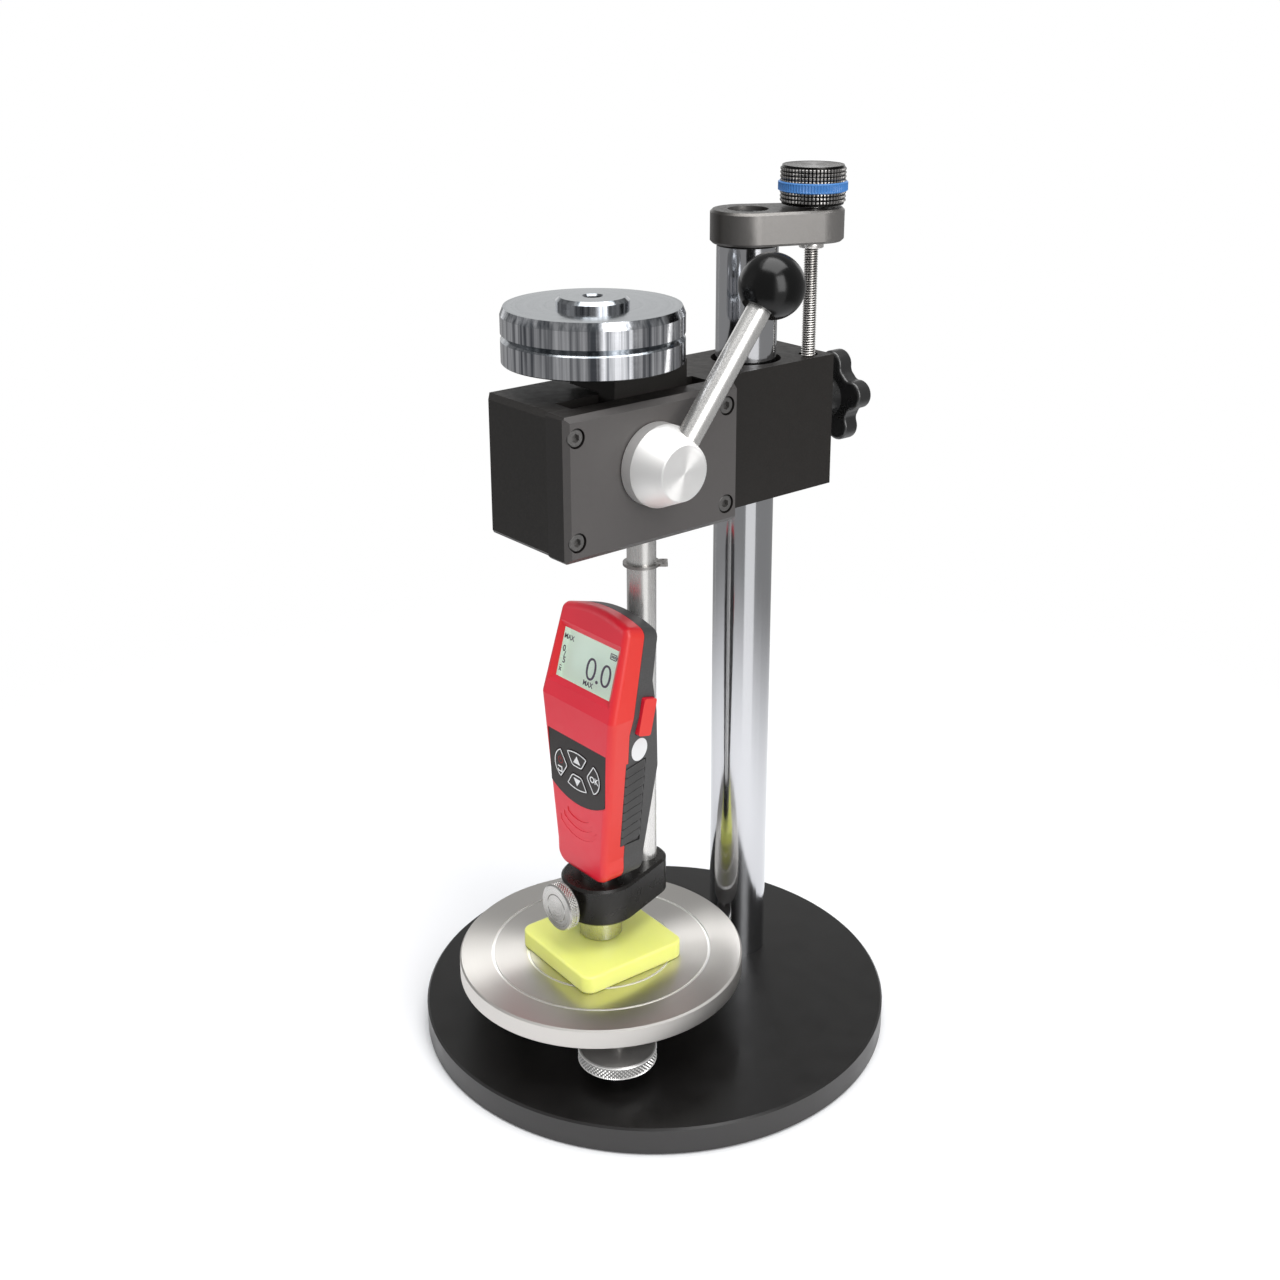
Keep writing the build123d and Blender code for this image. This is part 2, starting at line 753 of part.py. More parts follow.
def carrier_block():
    """The bridge under the weights, with a lip and a leg that reach down into the arm's pocket."""
    bridge = box(carrier_left, carrier_side, carrier_front, carrier_rear, carrier_bottom, carrier_top)
    lip_low, leg_low = arm_top - carrier_lip_h, arm_top - carrier_leg_len
    bridge += box(carrier_inner, carrier_side, carrier_front, carrier_rear, lip_low, carrier_bottom)
    bridge += box(carrier_inner, carrier_side, rack_back, carrier_rear, leg_low, carrier_bottom)
    spigot_top = carrier_bottom + rod_spigot_len + apart
    bridge -= rod(rod_spigot_d + 2 * seated, carrier_bottom, spigot_top, y=rod_y)
    bridge -= rod(stud_d + 2 * seated, carrier_bottom, carrier_top, y=table_y)
    hole = plain_cylinder(rack_screw_d + hole_clear, carrier_rear - rack_back)
    head_room = plain_cylinder(rack_head_d + hole_clear, carrier_rear - rack_head_y())
    for z in rack_screw_heights():
        bridge -= along_y(hole, carrier_mid(), rack_back, z)
        bridge -= along_y(head_room, carrier_mid(), rack_head_y(), z)
    return bridge


def rack_head_y():
    """Where the rack screws' heads sit in the leg's rear face."""
    return carrier_rear - rack_head_h - small_edge


def carrier_mid():
    return (carrier_inner + carrier_side) / 2


def rack_screw_heights():
    low = arm_top - carrier_leg_len + rack_screw_end
    return (low, low + rack_screw_step)


def rack():
    """The toothed bar: its teeth point to -Y and stand in mesh with the pinion at rest."""
    step = pi * module
    low = arm_top - carrier_leg_len + rack_end
    high = arm_top - carrier_lip_h
    root_y, tip_y = rack_pitch_y + dedendum * module, rack_pitch_y - module
    slope = tan(radians(pressure_angle))
    half_pitch = step / 4 - backlash / 4
    half_root = half_pitch + dedendum * module * slope
    half_tip = half_pitch - module * slope
    points = [(rack_back, low), (root_y, low)]
    first = int((low - lever_z) / step) + 1
    last = int((high - lever_z) / step) - 1
    for i in range(first, last + 1):
        z = lever_z + i * step
        points += [(root_y, z - half_root), (tip_y, z - half_tip)]
        points += [(tip_y, z + half_tip), (root_y, z + half_root)]
    points += [(root_y, high), (rack_back, high)]
    outline = make_face(Polyline(*[(0, y, z) for y, z in points], close=True))
    bar = Pos(carrier_inner, 0, 0) * extrude(outline, carrier_side - carrier_inner, dir=(1, 0, 0))
    tapped = plain_cylinder(rack_screw_d + 2 * seated, 2 * rack_tap_len)
    for z in rack_screw_heights():
        bar -= along_y(tapped, carrier_mid(), rack_back - rack_tap_len, z)
    return bar


def rack_screws():
    shank = rack_head_y() - rack_back + rack_tap_len - small_edge
    screw = cap_screw(rack_screw_d, shank, rack_head_d, rack_head_h, rack_hex)
    return Compound([along_y(screw, carrier_mid(), rack_head_y(), z) for z in rack_screw_heights()])


def weight_lower():
    r, e, h = weight_d / 2, weight_edge, weight_lower_h
    bore, under = stud_d / 2 + seated, small_edge
    disc = turned([(bore, 0), (r - under, 0), (r, under), (r, h - e), (r - e, h), (bore, h)])
    return Pos(0, table_y, carrier_top) * disc


def weight_upper():
    r, e, h = weight_d / 2, weight_edge, weight_upper_h
    bevel, bevel_h = weight_top_bevel
    hub, he, top = hub_boss_d / 2, hub_boss_edge, weight_upper_h + hub_boss_h
    bore, thread, sink = stud_d / 2 + seated, weight_thread_d / 2, weight_thread_sink
    shoulder = top - weight_thread_len
    disc = turned([(bore, 0), (r - e, 0), (r, e), (r, h - bevel_h), (r - bevel, h), (hub, h),
                   (hub, top - he), (hub - he, top), (thread + sink, top), (thread, top - sink),
                   (thread, shoulder), (bore, shoulder)])
    return Pos(0, table_y, weight_joint) * disc


def weight_stud():
    low, top = carrier_bottom + 1, weight_top + hub_boss_h - weight_thread_len - apart
    return Pos(0, table_y, low) * plain_cylinder(stud_d, top - low, pin_edge)


def retaining_clip():
    """Spring ring on the rod with two ears, which stops the plunger under the arm."""
    inner, outer = rod_d / 2 + seated, rod_d / 2 + clip_w
    ring = Circle(outer) - Circle(inner) - Pos(outer, 0) * Rectangle(2 * outer, clip_gap)
    for side in (-1, 1):
        place = Pos(outer + clip_ear / 2 - pin_edge, side * (clip_gap / 2 + clip_hole_d))
        ring += place * (RectangleRounded(clip_ear, 2 * clip_hole_d, pin_edge) - Circle(clip_hole_d / 2))
    return Pos(0, rod_y, clip_z) * Rot(0, 0, clip_turn) * extrude(ring, clip_t)


# Gauge clamp, foot and indenter

def gauge_clamp():
    strap = hull_of_two((0, table_y), gauge_clamp_r, (0, rod_y), gauge_clamp_rod_r)
    block = Pos(0, 0, rod_bottom) * extrude(strap, gauge_clamp_h)
    rims = block.edges().group_by(Axis.Z)
    block = chamfer(rims[0] + rims[-1], gauge_clamp_edge)
    block -= rod(rod_d + 2 * seated, rod_bottom, clamp_top, y=rod_y)
    block -= rod(neck_d + 2 * seated, rod_bottom, clamp_top, y=table_y)
    front = table_y - gauge_clamp_r
    block -= along_y(plain_cylinder(thumb_screw_d + 2 * running, gauge_clamp_r), 0, front, clamp_mid)
    block -= along_y(plain_cylinder(thumb_screw_d + 2 * seated, gauge_clamp_rod_r), 0, rod_y, clamp_mid)
    return block


def rod_set_screw():
    y0 = rod_y + rod_d / 2 + seated
    length = gauge_clamp_rod_r - rod_d / 2 - pin_edge
    screw = plain_cylinder(thumb_screw_d, length)
    socket = extrude(RegularPolygon(set_screw_hex / sqrt(3), 6), set_screw_socket)
    hexagon = Pos(0, 0, length - set_screw_socket) * socket
    return along_y(screw - hexagon, 0, y0, clamp_mid)


def thumb_screw():
    r, e = thumb_d / 2, pin_edge
    tip = gauge_clamp_r - neck_d / 2 + thumb_neck_len - apart
    neck = thumb_neck_d / 2
    gap = thumb_neck_len + apart
    profile = [(0, -thumb_h), (r - e, -thumb_h), (r, e - thumb_h), (r, -e), (r - e, 0), (neck, 0),
               (neck, gap - apart), (thumb_screw_d / 2, gap - apart), (thumb_screw_d / 2, tip), (0, tip)]
    return along_y(turned(profile), 0, table_y - gauge_clamp_r - gap, clamp_mid)


def presser_foot():
    r, e = foot_d / 2, small_edge
    hole, thread = indenter_d / 2 + running, neck_bore_d / 2
    h = rod_bottom - foot_bottom - apart
    foot = turned([(hole, 0), (r - e, 0), (r, e), (r, h), (thread, h), (thread, foot_plate),
                   (hole, foot_plate)])
    return Pos(0, table_y, foot_bottom) * foot


def sensor_neck():
    z0 = rod_bottom - apart
    return Pos(0, table_y, z0) * tube(neck_d, neck_bore_d, neck_len)


def indenter():
    r, tip, collar = indenter_d / 2, indenter_tip_d / 2, indenter_collar_d / 2
    shoulder = foot_plate + indenter_travel + apart
    over = shoulder + indenter_collar_t
    cone_top = indenter_low + (r - tip) / tan(radians(indenter_cone))
    profile = [(0, indenter_low), (tip, indenter_low), (r, cone_top), (r, shoulder), (collar, shoulder),
               (collar, over), (r, over), (r, indenter_len), (0, indenter_len)]
    return Pos(0, table_y, foot_bottom) * turned(profile)


def load_cell():
    """The force sensor on the neck's end, just above the indenter."""
    z0 = rod_bottom - apart + neck_len
    half = cell_depth / 2
    return box(-cell_w / 2, cell_w / 2, table_y - half, table_y + half, z0, z0 + cell_h)


# Gauge housing

def between(profile, z):
    """The value of a profile, given as height and depth, at a height."""
    for (z0, y0), (z1, y1) in zip(profile, profile[1:]):
        if z <= z1:
            return y0 + (z - z0) / (z1 - z0) * (y1 - y0)
    return profile[-1][1]


def side_x(z):
    """Half width of the handle at a height."""
    handle = [(gauge_waist, gauge_half_bottom), (gauge_knee, gauge_half_knee)]
    return between(handle + [(gauge_shoulder, gauge_half_shoulder)], max(z, gauge_waist))


def face_y(z):
    """Depth of the front at a height: upright up to the knee, then leaning back."""
    if z <= gauge_knee:
        return between([(gauge_bottom, front_bottom_y), (gauge_knee, front_knee_y)], z)
    return front_knee_y + (z - gauge_knee) * tan(radians(face_tilt))


def front_outline():
    """Seen from the front: an upright foot, a handle that widens to the knee and a tapering head."""
    high = 2 * gauge_shoulder - gauge_knee
    half_high = 2 * gauge_half_shoulder - gauge_half_knee
    right = [(gauge_half_bottom, gauge_bottom), (gauge_half_bottom, gauge_waist)]
    right += [(gauge_half_knee, gauge_knee), (half_high, high)]
    left = [(-x, z) for x, z in right[::-1]]
    outline = make_face(Polyline(*right, *left, close=True))
    return fillet([v for v in outline.vertices() if v.Y < gauge_bottom + 1], gauge_foot_corner)


def side_outline():
    """Seen from the side: the handle, the knee and the leaning head."""
    high = back_profile[-1][0]
    front = [(front_bottom_y, gauge_bottom), (front_knee_y, gauge_knee), (face_y(high), high)]
    back = [(y, z) for z, y in back_profile[::-1]]
    return make_face(Polyline(*front, *back, close=True))


def housing_volume(inset):
    """The gauge's outer form, or its hollow when it is inset by the wall."""
    front = offset(front_outline(), -inset) if inset else front_outline()
    side = offset(side_outline(), -inset) if inset else side_outline()
    through = extrude(Plane.XZ * front, 60, dir=(0, -1, 0))
    across = extrude(Plane.YZ * side, 40, dir=(1, 0, 0), both=True)
    crown = face_plane(gauge_crown_up - gauge_crown_r) * Circle(gauge_crown_r - inset)
    body = through & across & extrude(crown, 60, both=True)
    corners = []
    for edge in body.edges():
        place = edge.center()
        if abs(edge.tangent_at(0.5).Y) > 0.9 and place.Z > crown_low and abs(place.X) > gauge_half_bottom:
            corners.append(edge)
    return fillet(corners, gauge_corner)


def behind_seam(shift):
    """Everything behind the split line between the two shells."""
    line = [(y + shift, z) for z, y in seam_profile]
    outline = make_face(Polyline(*line, (20, seam_profile[-1][0]), (20, seam_profile[0][0]), close=True))
    return extrude(Plane.YZ * outline, 50, dir=(1, 0, 0), both=True)


def rounded_housing():
    """The outer form with the front face's rim well rounded and the back's a little."""
    body = housing_volume(0)
    front = []
    back = []
    for edge in body.edges():
        place = edge.center()
        run = edge.tangent_at(0.5)
        across = abs(run.X) > 0.99 and gauge_bottom + 2 < place.Z < crown_low
        if abs(run.Y) > 0.9 or across:
            continue
        if place.Y < face_y(place.Z) + 1:
            front.append(edge)
        else:
            back.append(edge)
    body = fillet(front, front_edge)
    places = [edge.center() for edge in back]
    kept = [e for e in body.edges() if any((e.center() - place).length < 0.2 for place in places)]
    return fillet(kept, back_edge)


def face_plane(up):
    """A plane on the leaning display face, with its centre a given way up from the knee."""
    lean = radians(face_tilt)
    centre = (0, front_knee_y + up * sin(lean), gauge_knee + up * cos(lean))
    return Plane(origin=centre, x_dir=(1, 0, 0), z_dir=(0, -cos(lean), sin(lean)))


def keypad_outline(grow):
    """The key field: straight top and sides, and a round belly. Drawn in XZ about its own axis."""
    half = keypad_w / 2 + grow
    top, low = keypad_top + grow, keypad_bottom - grow
    left = [(-half, top), (-half + keypad_narrow, low)]
    right = [(-x, z) for x, z in left[::-1]]
    belly = ThreePointArc(left[-1], (0, low - keypad_belly), right[0])
    lines = Line(*left) + belly + Line(*right) + Line(right[-1], left[0])
    return make_face(lines.edges())


def key_shapes(grow):
    """The four keys in a ring: up and down widen outwards, back and confirm are pointed inwards."""
    low, high = key_ring_inner, key_ring_outer
    fan = Polyline((-key_fan_low, low), (-key_fan_high, high)) + \
        ThreePointArc((-key_fan_high, high), (0, high + key_bulge), (key_fan_high, high)) + \
        Polyline((key_fan_high, high), (key_fan_low, low), (-key_fan_low, low))
    fan = make_face(fan.edges())
    tip, rim, half = key_wing_tip, key_wing_rim, key_wing_half
    wing = Polyline((rim - key_wing_bulge, half), (tip, 0), (rim - key_wing_bulge, -half)) + \
        ThreePointArc((rim - key_wing_bulge, -half), (rim, 0), (rim - key_wing_bulge, half))
    wing = make_face(wing.edges())
    up, right = fillet(fan.vertices(), key_corner), fillet(wing.vertices(), key_corner)
    if grow:
        up, right = offset(up, grow), offset(right, grow)
    half_turn = Rot(0, 0, 180)
    shapes = {"up": up, "down": half_turn * up, "back": half_turn * right, "ok": right}
    return {name: Pos(0, key_z) * shape for name, shape in shapes.items()}


def on_front(sketch, depth, start=0.0):
    """Extrudes a sketch drawn in XZ from a place on the handle's front into the housing."""
    y = face_y(key_z) + start
    return extrude(Pos(0, y, 0) * (Plane.XZ * sketch), depth, dir=(0, 1, 0))


def front_shell():
    shell = rounded_housing() - housing_volume(wall)
    for x, z in shell_screw_points():
        y1 = between(back_profile, z) - shell_boss_len
        post = along_y(plain_cylinder(shell_boss_d, y1 - face_y(z) - wall / 2), x, face_y(z) + wall / 2, z)
        shell += post
    post_x = board_w / 2 - post_small_in
    for x in (-post_x, post_x):
        for z in (board_low + post_small_up, board_high - post_small_up):
            start = face_y(z) + wall / 2
            shell += along_y(plain_cylinder(post_small_d, board_y - start), x, start, z)
    shell -= behind_seam(0) - posts_behind_seam()
    opening = face_plane(lcd_up) * Rectangle(lcd_w, lcd_h)
    shell -= extrude(opening, wall + 0.2, both=True)
    slant = degrees(asin(bezel / hypot(bezel, bezel_depth)))
    recess = face_plane(lcd_up) * Rectangle(lcd_w + 2 * bezel, lcd_h + 2 * bezel)
    shell -= extrude(recess, -bezel_depth, taper=slant)
    shell -= on_front(keypad_outline(0.1), keypad_t + 1, -1.0)
    for shape in key_shapes(key_gap).values():
        shell -= on_front(shape, key_room)
    for i in range(3):
        shell -= finger_groove(i)
    for side in (-1, 1):
        shell -= grip_form(side, grip_fit)
    tapped = plain_cylinder(shell_screw_d + 2 * seated, shell_screw_len)
    for x, z in shell_screw_points():
        y1 = between(back_profile, z) - shell_boss_len
        shell -= along_y(tapped, x, y1 - shell_screw_len, z)
    return shell - rod(neck_d + 2 * seated, gauge_bottom - 5, gauge_bottom + 6, y=table_y)


def posts_behind_seam():
    """Room for the front shell's screw posts, which reach back past the seam."""
    room = None
    for x, z in shell_screw_points():
        y1 = between(back_profile, z) - shell_boss_len
        post = along_y(plain_cylinder(shell_boss_d, y1 + 36), x, -36, z)
        room = post if room is None else room + post
    return room


def finger_groove(i):
    """One of three curved finger marks under the keys."""
    z = groove_low - groove_step * i
    r, half = groove_r + groove_r_step * i, groove_line / 2
    ring = Pos(0, z + r) * (Circle(r + half) - Circle(r - half))
    ring = ring & Pos(0, z) * Rectangle(groove_reach + groove_reach_step * i, r)
    return on_front(ring, 1 + groove_in, -1.0)


def back_shell():
    shell = rounded_housing() - housing_volume(wall)
    for x, z in shell_screw_points():
        back = between(back_profile, z)
        boss = plain_cylinder(shell_boss_d, shell_boss_len - wall / 2)
        shell += along_y(boss, x, back - shell_boss_len, z)
    shell = shell & behind_seam(seam_gap)
    shell -= rod(neck_d + 2 * seated, gauge_bottom - 5, gauge_bottom + 6, y=table_y)
    shell -= side_button_form(key_gap, 6)
    for side in (-1, 1):
        shell -= grip_form(side, grip_fit)
    hole = plain_cylinder(shell_screw_d + hole_clear, shell_boss_len)
    head_room = plain_cylinder(shell_screw_head_d + hole_clear, shell_screw_sink + 1)
    for x, z in shell_screw_points():
        back = between(back_profile, z)
        shell -= along_y(hole, x, back - shell_boss_len, z)
        shell -= along_y(head_room, x, back - shell_screw_sink, z)
    return shell


def shell_screw_points():
    return [(side * x, z) for side in (-1, 1) for x, z in shell_screw_places]


def side_button_form(grow, depth):
    """The button's outline on the housing's right side, leaning with the head."""
    w, h = side_button_w + 2 * grow, side_button_h + 2 * grow
    outline = RectangleRounded(w, h, side_button_corner + grow)
    turn = radians(side_button_turn)
    plane = Plane(origin=(gauge_half_knee + side_button_proud, side_button_y, side_button_z),
                  x_dir=(0, cos(turn), -sin(turn)), z_dir=(1, 0, 0))
    return extrude(plane * outline, -depth)


def side_button():
    return side_button_form(0, side_button_proud + wall + side_button_back)


def grip_form(side, grow):
    """A grip strip along the side of the handle, let into the shells."""
    z0, z1 = grip_bottom - grow, grip_top + grow
    inner, outer = grip_t, grip_proud
    points = [(side_x(z0) - inner - grow, z0), (side_x(z0) + outer, z0), (side_x(z1) + outer, z1),
              (side_x(z1) - inner - grow, z1)]
    strip = extrude(Plane.XZ * make_face(Polyline(*points, close=True)), 60, dir=(0, -1, 0))
    strip = strip & box(0, 60, grip_front_y - grow, grip_rear_y + grow, z0 - 1, z1 + 1)
    return strip if side > 0 else mirror(strip, Plane.YZ)


def grips():
    """The soft grips on both sides of the handle, with their slanting ribs."""
    strip = grip_form(1, 0)
    step = (grip_top - grip_bottom) / grip_ribs
    for i in range(grip_ribs):
        z = grip_bottom + (i + 0.5) * step
        place = Pos(side_x(z) + grip_proud, (grip_front_y + grip_rear_y) / 2, z)
        strip -= place * Rot(grip_rib_tilt, 0, 0) * Box(*grip_groove)
    return Compound([strip, mirror(strip, Plane.YZ)])


def behind_opening(start, thickness):
    """A plate behind the display opening, wider than it all round."""
    outline = Rectangle(lcd_w + 2 * module_margin, lcd_h + 2 * module_margin)
    return extrude(face_plane(lcd_up).offset(-start) * outline, -thickness)


def display_window():
    return behind_opening(wall, window_t)


def display():
    return behind_opening(wall + window_t, module_t)


def keypad():
    sheet = on_front(keypad_outline(0), keypad_t - keypad_sunk, keypad_sunk)
    for shape in key_shapes(key_gap).values():
        sheet -= on_front(shape, key_room, -1.0)
    return sheet


def key(name):
    return on_front(key_shapes(0)[name], key_t)


def circuit_board():
    return box(-board_w / 2, board_w / 2, board_y, board_y + board_t, board_low, board_high)


def batteries():
    cell = plain_cylinder(battery_d, battery_len, battery_edge)
    return Compound([Pos(x, battery_y, battery_low) * cell for x in battery_places()])


def battery_places():
    x = battery_d / 2 + battery_gap
    return (-x, x)


def battery_tray():
    """The open tray on the board that holds the two cells."""
    half = battery_d + battery_gap + tray_wall
    low, high = battery_low - seated, battery_low + battery_len + seated
    tray = box(-half, half, board_y + board_t, battery_y, low - tray_wall, high + tray_wall)
    for x in battery_places():
        tray -= rod(battery_d + 2 * seated, low, high, x, battery_y)
    return tray


def shell_screws():
    screw = cap_screw(shell_screw_d, shell_screw_len, shell_screw_head_d, shell_screw_head_h, shell_screw_hex)
    places = [(x, between(back_profile, z) - shell_screw_sink, z) for x, z in shell_screw_points()]
    return Compound([along_y(screw, *place) for place in places])


nodes = {
    "base_plate": base_plate(),
    "column": column(),
    "base_screws": base_screws(),
    "top_bracket": top_bracket(),
    "bracket_screw": bracket_screw(),
    "table_post": table_post(),
    "table": table(),
    "test_block": test_block(),
    "arm_body": arm_body(),
    "arm_cover": arm_cover(),
    "cover_screws": cover_screws(),
    "rod_bushes": rod_bushes(),
    "shaft_bushes": shaft_bushes(),
    "spindle_nut": spindle_nut(),
    "clamp_pad": clamp_pad(),
    "lift_spindle": lift_spindle(),
    "spindle_knob": spindle_knob(),
    "knob_ring": knob_ring(),
    "thrust_washer": thrust_washer(),
    "clamp_knob": clamp_knob(),
    "clamp_stud": clamp_stud(),
    "lever_shaft": lever_shaft(),
    "lever_hub": lever_hub(),
    "lever_rod": lever_rod(),
    "lever_ball": lever_ball(),
    "pinion": pinion(),
    "plunger_rod": plunger_rod(),
    "carrier_block": carrier_block(),
    "rack": rack(),
    "rack_screws": rack_screws(),
    "weight_lower": weight_lower(),
    "weight_upper": weight_upper(),
    "weight_stud": weight_stud(),
    "retaining_clip": retaining_clip(),
    "gauge_clamp": gauge_clamp(),
    "rod_set_screw": rod_set_screw(),
    "thumb_screw": thumb_screw(),
    "presser_foot": presser_foot(),
    "sensor_neck": sensor_neck(),
    "indenter": indenter(),
    "load_cell": load_cell(),
    "front_shell": front_shell(),
    "back_shell": back_shell(),
    "grips": grips(),
    "display_window": display_window(),
    "display": display(),
    "keypad": keypad(),
    "side_button": side_button(),
    "circuit_board": circuit_board(),
    "batteries": batteries(),
    "battery_tray": battery_tray(),
    "shell_screws": shell_screws(),
}
for number, (x, y) in enumerate(level_points(), start=1):
    nodes[f"levelling_screw_{number}"] = levelling_screw(x, y)
for name in ("up", "down", "back", "ok"):
    nodes[f"key_{name}"] = key(name)

for node, shape in nodes.items():
    save(node, shape)
print(len(nodes), "nodes")
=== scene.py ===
import bpy
import bmesh
import math
from mathutils import Matrix, Vector


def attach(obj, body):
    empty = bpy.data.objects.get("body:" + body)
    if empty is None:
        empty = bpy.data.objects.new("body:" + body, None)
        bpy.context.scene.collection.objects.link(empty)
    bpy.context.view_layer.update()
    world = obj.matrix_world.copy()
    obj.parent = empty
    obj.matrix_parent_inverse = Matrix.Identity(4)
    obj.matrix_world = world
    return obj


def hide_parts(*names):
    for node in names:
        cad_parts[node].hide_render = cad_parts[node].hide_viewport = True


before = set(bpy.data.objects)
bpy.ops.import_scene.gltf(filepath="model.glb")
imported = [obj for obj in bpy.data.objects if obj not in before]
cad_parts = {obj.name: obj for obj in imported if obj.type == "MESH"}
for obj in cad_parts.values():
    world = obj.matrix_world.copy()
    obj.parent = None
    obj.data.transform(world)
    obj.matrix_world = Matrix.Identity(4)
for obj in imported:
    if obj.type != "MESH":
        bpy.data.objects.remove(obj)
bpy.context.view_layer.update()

# The camera: it stands to the right of the gauge and looks down on it. A small shift keeps the
# upright edges nearly parallel.
look_down, turn_left = 18.62, 49.78
camera_data = bpy.data.cameras.new("camera")
camera_data.sensor_width = 36
camera_data.lens = 46.9
camera_data.shift_x, camera_data.shift_y = -0.0168, -0.09
camera = bpy.data.objects.new("camera", camera_data)
camera.location = (0.4880, -0.4088, 0.4398)
camera.rotation_euler = (math.radians(90 - look_down), 0, math.radians(turn_left))
bpy.context.scene.collection.objects.link(camera)
bpy.context.scene.camera = camera
bpy.context.scene.view_settings.view_transform = "Standard"


# The light: three soft lamps, above the stand and on both sides of it, in a pale room. The camera,
# polished metal and clear plastic see the room as plain white.
def softbox(name, place, target, width, height, power):
    lamp = bpy.data.lights.new(name, "AREA")
    lamp.shape = "RECTANGLE"
    lamp.size, lamp.size_y = width, height
    lamp.energy = power
    stand = bpy.data.objects.new(name, lamp)
    stand.location = place
    stand.rotation_euler = (Vector(target) - Vector(place)).to_track_quat("-Z", "Y").to_euler()
    bpy.context.scene.collection.objects.link(stand)


softbox("softbox_top", (0.15, 0.05, 1.5), (0, 0, 0.1), width=1.2, height=1.2, power=18)
softbox("softbox_right", (1.25, -0.2, 0.7), (0, 0, 0.2), width=0.6, height=1.2, power=10)
softbox("softbox_left", (-0.8, -1.0, 0.75), (0, 0, 0.2), width=0.35, height=1.1, power=3)

world = bpy.data.worlds.new("studio")
world.use_nodes = True
bpy.context.scene.world = world
room = world.node_tree
soft_room = room.nodes["Background"]
soft_room.inputs["Color"].default_value = (0.93, 0.95, 1.0, 1)
soft_room.inputs["Strength"].default_value = 0.48
white_wall = room.nodes.new("ShaderNodeBackground")
white_wall.inputs["Color"].default_value = (1, 1, 1, 1)
ray = room.nodes.new("ShaderNodeLightPath")
sees_wall = ray.outputs["Is Camera Ray"]
for kind in ("Is Glossy Ray", "Is Transmission Ray"):
    any_of = room.nodes.new("ShaderNodeMath")
    any_of.operation = "MAXIMUM"
    room.links.new(sees_wall, any_of.inputs[0])
    room.links.new(ray.outputs[kind], any_of.inputs[1])
    sees_wall = any_of.outputs[0]
wall_or_room = room.nodes.new("ShaderNodeMixShader")
room.links.new(sees_wall, wall_or_room.inputs[0])
room.links.new(soft_room.outputs[0], wall_or_room.inputs[1])
room.links.new(white_wall.outputs[0], wall_or_room.inputs[2])
room.links.new(wall_or_room.outputs[0], room.nodes["World Output"].inputs["Surface"])


# The floor: a round of matt white paper under the stand. It keeps the soft shadow and fades into the
# white room towards its rim.
def socket(mat, name):
    """A socket of the material's own shader."""
    return mat.node_tree.nodes["Principled BSDF"].inputs[name]


def finish(name, colour, metallic, roughness, **more):
    """A material whose plain values stand on the shader's own sockets."""
    mat = bpy.data.materials.new(name)
    mat.use_nodes = True
    socket(mat, "Base Color").default_value = (*colour, 1)
    socket(mat, "Metallic").default_value = metallic
    socket(mat, "Roughness").default_value = roughness
    for socket_name, value in more.items():
        socket(mat, socket_name.replace("_", " ")).default_value = value
    return mat


def add_node(mat, kind, **settings):
    made = mat.node_tree.nodes.new(kind)
    for setting, value in settings.items():
        setattr(made, setting, value)
    return made


def wire(mat, start, end):
    mat.node_tree.links.new(start, end)


def piece_space(mat):
    """A point's place in the piece's own space, in metres."""
    return add_node(mat, "ShaderNodeTexCoord").outputs["Object"]


def speckle(mat, size, stretch=(1, 1, 1), detail=3):
    """Noise with grains of a size in metres, which may be stretched along an axis."""
    grains = add_node(mat, "ShaderNodeTexNoise")
    grains.inputs["Scale"].default_value = 1 / size
    grains.inputs["Detail"].default_value = detail
    place = piece_space(mat)
    if stretch != (1, 1, 1):
        pull = add_node(mat, "ShaderNodeVectorMath", operation="DIVIDE")
        pull.inputs[1].default_value = stretch
        wire(mat, place, pull.inputs[0])
        place = pull.outputs[0]
    wire(mat, place, grains.inputs["Vector"])
    return grains.outputs[0]


def spread(mat, value, start, end, low=0, high=1, **settings):
    """Carries a value over from one range to another, and holds it inside."""
    span = add_node(mat, "ShaderNodeMapRange", **settings)
    for limit, number in (("From Min", start), ("From Max", end), ("To Min", low), ("To Max", high)):
        span.inputs[limit].default_value = number
    wire(mat, value, span.inputs["Value"])
    return span.outputs["Result"]


def wander(mat, socket_name, noise, low, high):
    """A shader value that goes between two limits with the noise."""
    noise_low, noise_high = 0.3, 0.7
    wire(mat, spread(mat, noise, noise_low, noise_high, low, high), socket(mat, socket_name))


def stage_object(name, shape, mat):
    mesh = bpy.data.meshes.new(name)
    shape.to_mesh(mesh)
    shape.free()
    thing = bpy.data.objects.new(name, mesh)
    mesh.materials.append(mat)
    bpy.context.scene.collection.objects.link(thing)
    return thing


floor_r, fade_r = 0.55, 0.16
floor_paper = finish("floor_paper", (0.93, 0.93, 0.93), 0, 0.9, Specular_IOR_Level=0.1)
wander(floor_paper, "Roughness", speckle(floor_paper, 0.05), 0.86, 0.94)
sweep = bmesh.new()
bmesh.ops.create_circle(sweep, cap_ends=True, segments=96, radius=floor_r)
stage_object("floor", sweep, floor_paper)
from_middle = add_node(floor_paper, "ShaderNodeVectorMath", operation="LENGTH")
wire(floor_paper, piece_space(floor_paper), from_middle.inputs[0])
paper_left = spread(floor_paper, from_middle.outputs["Value"], fade_r, floor_r, 1, 0,
                    interpolation_type="SMOOTHSTEP")
wire(floor_paper, paper_left, socket(floor_paper, "Alpha"))


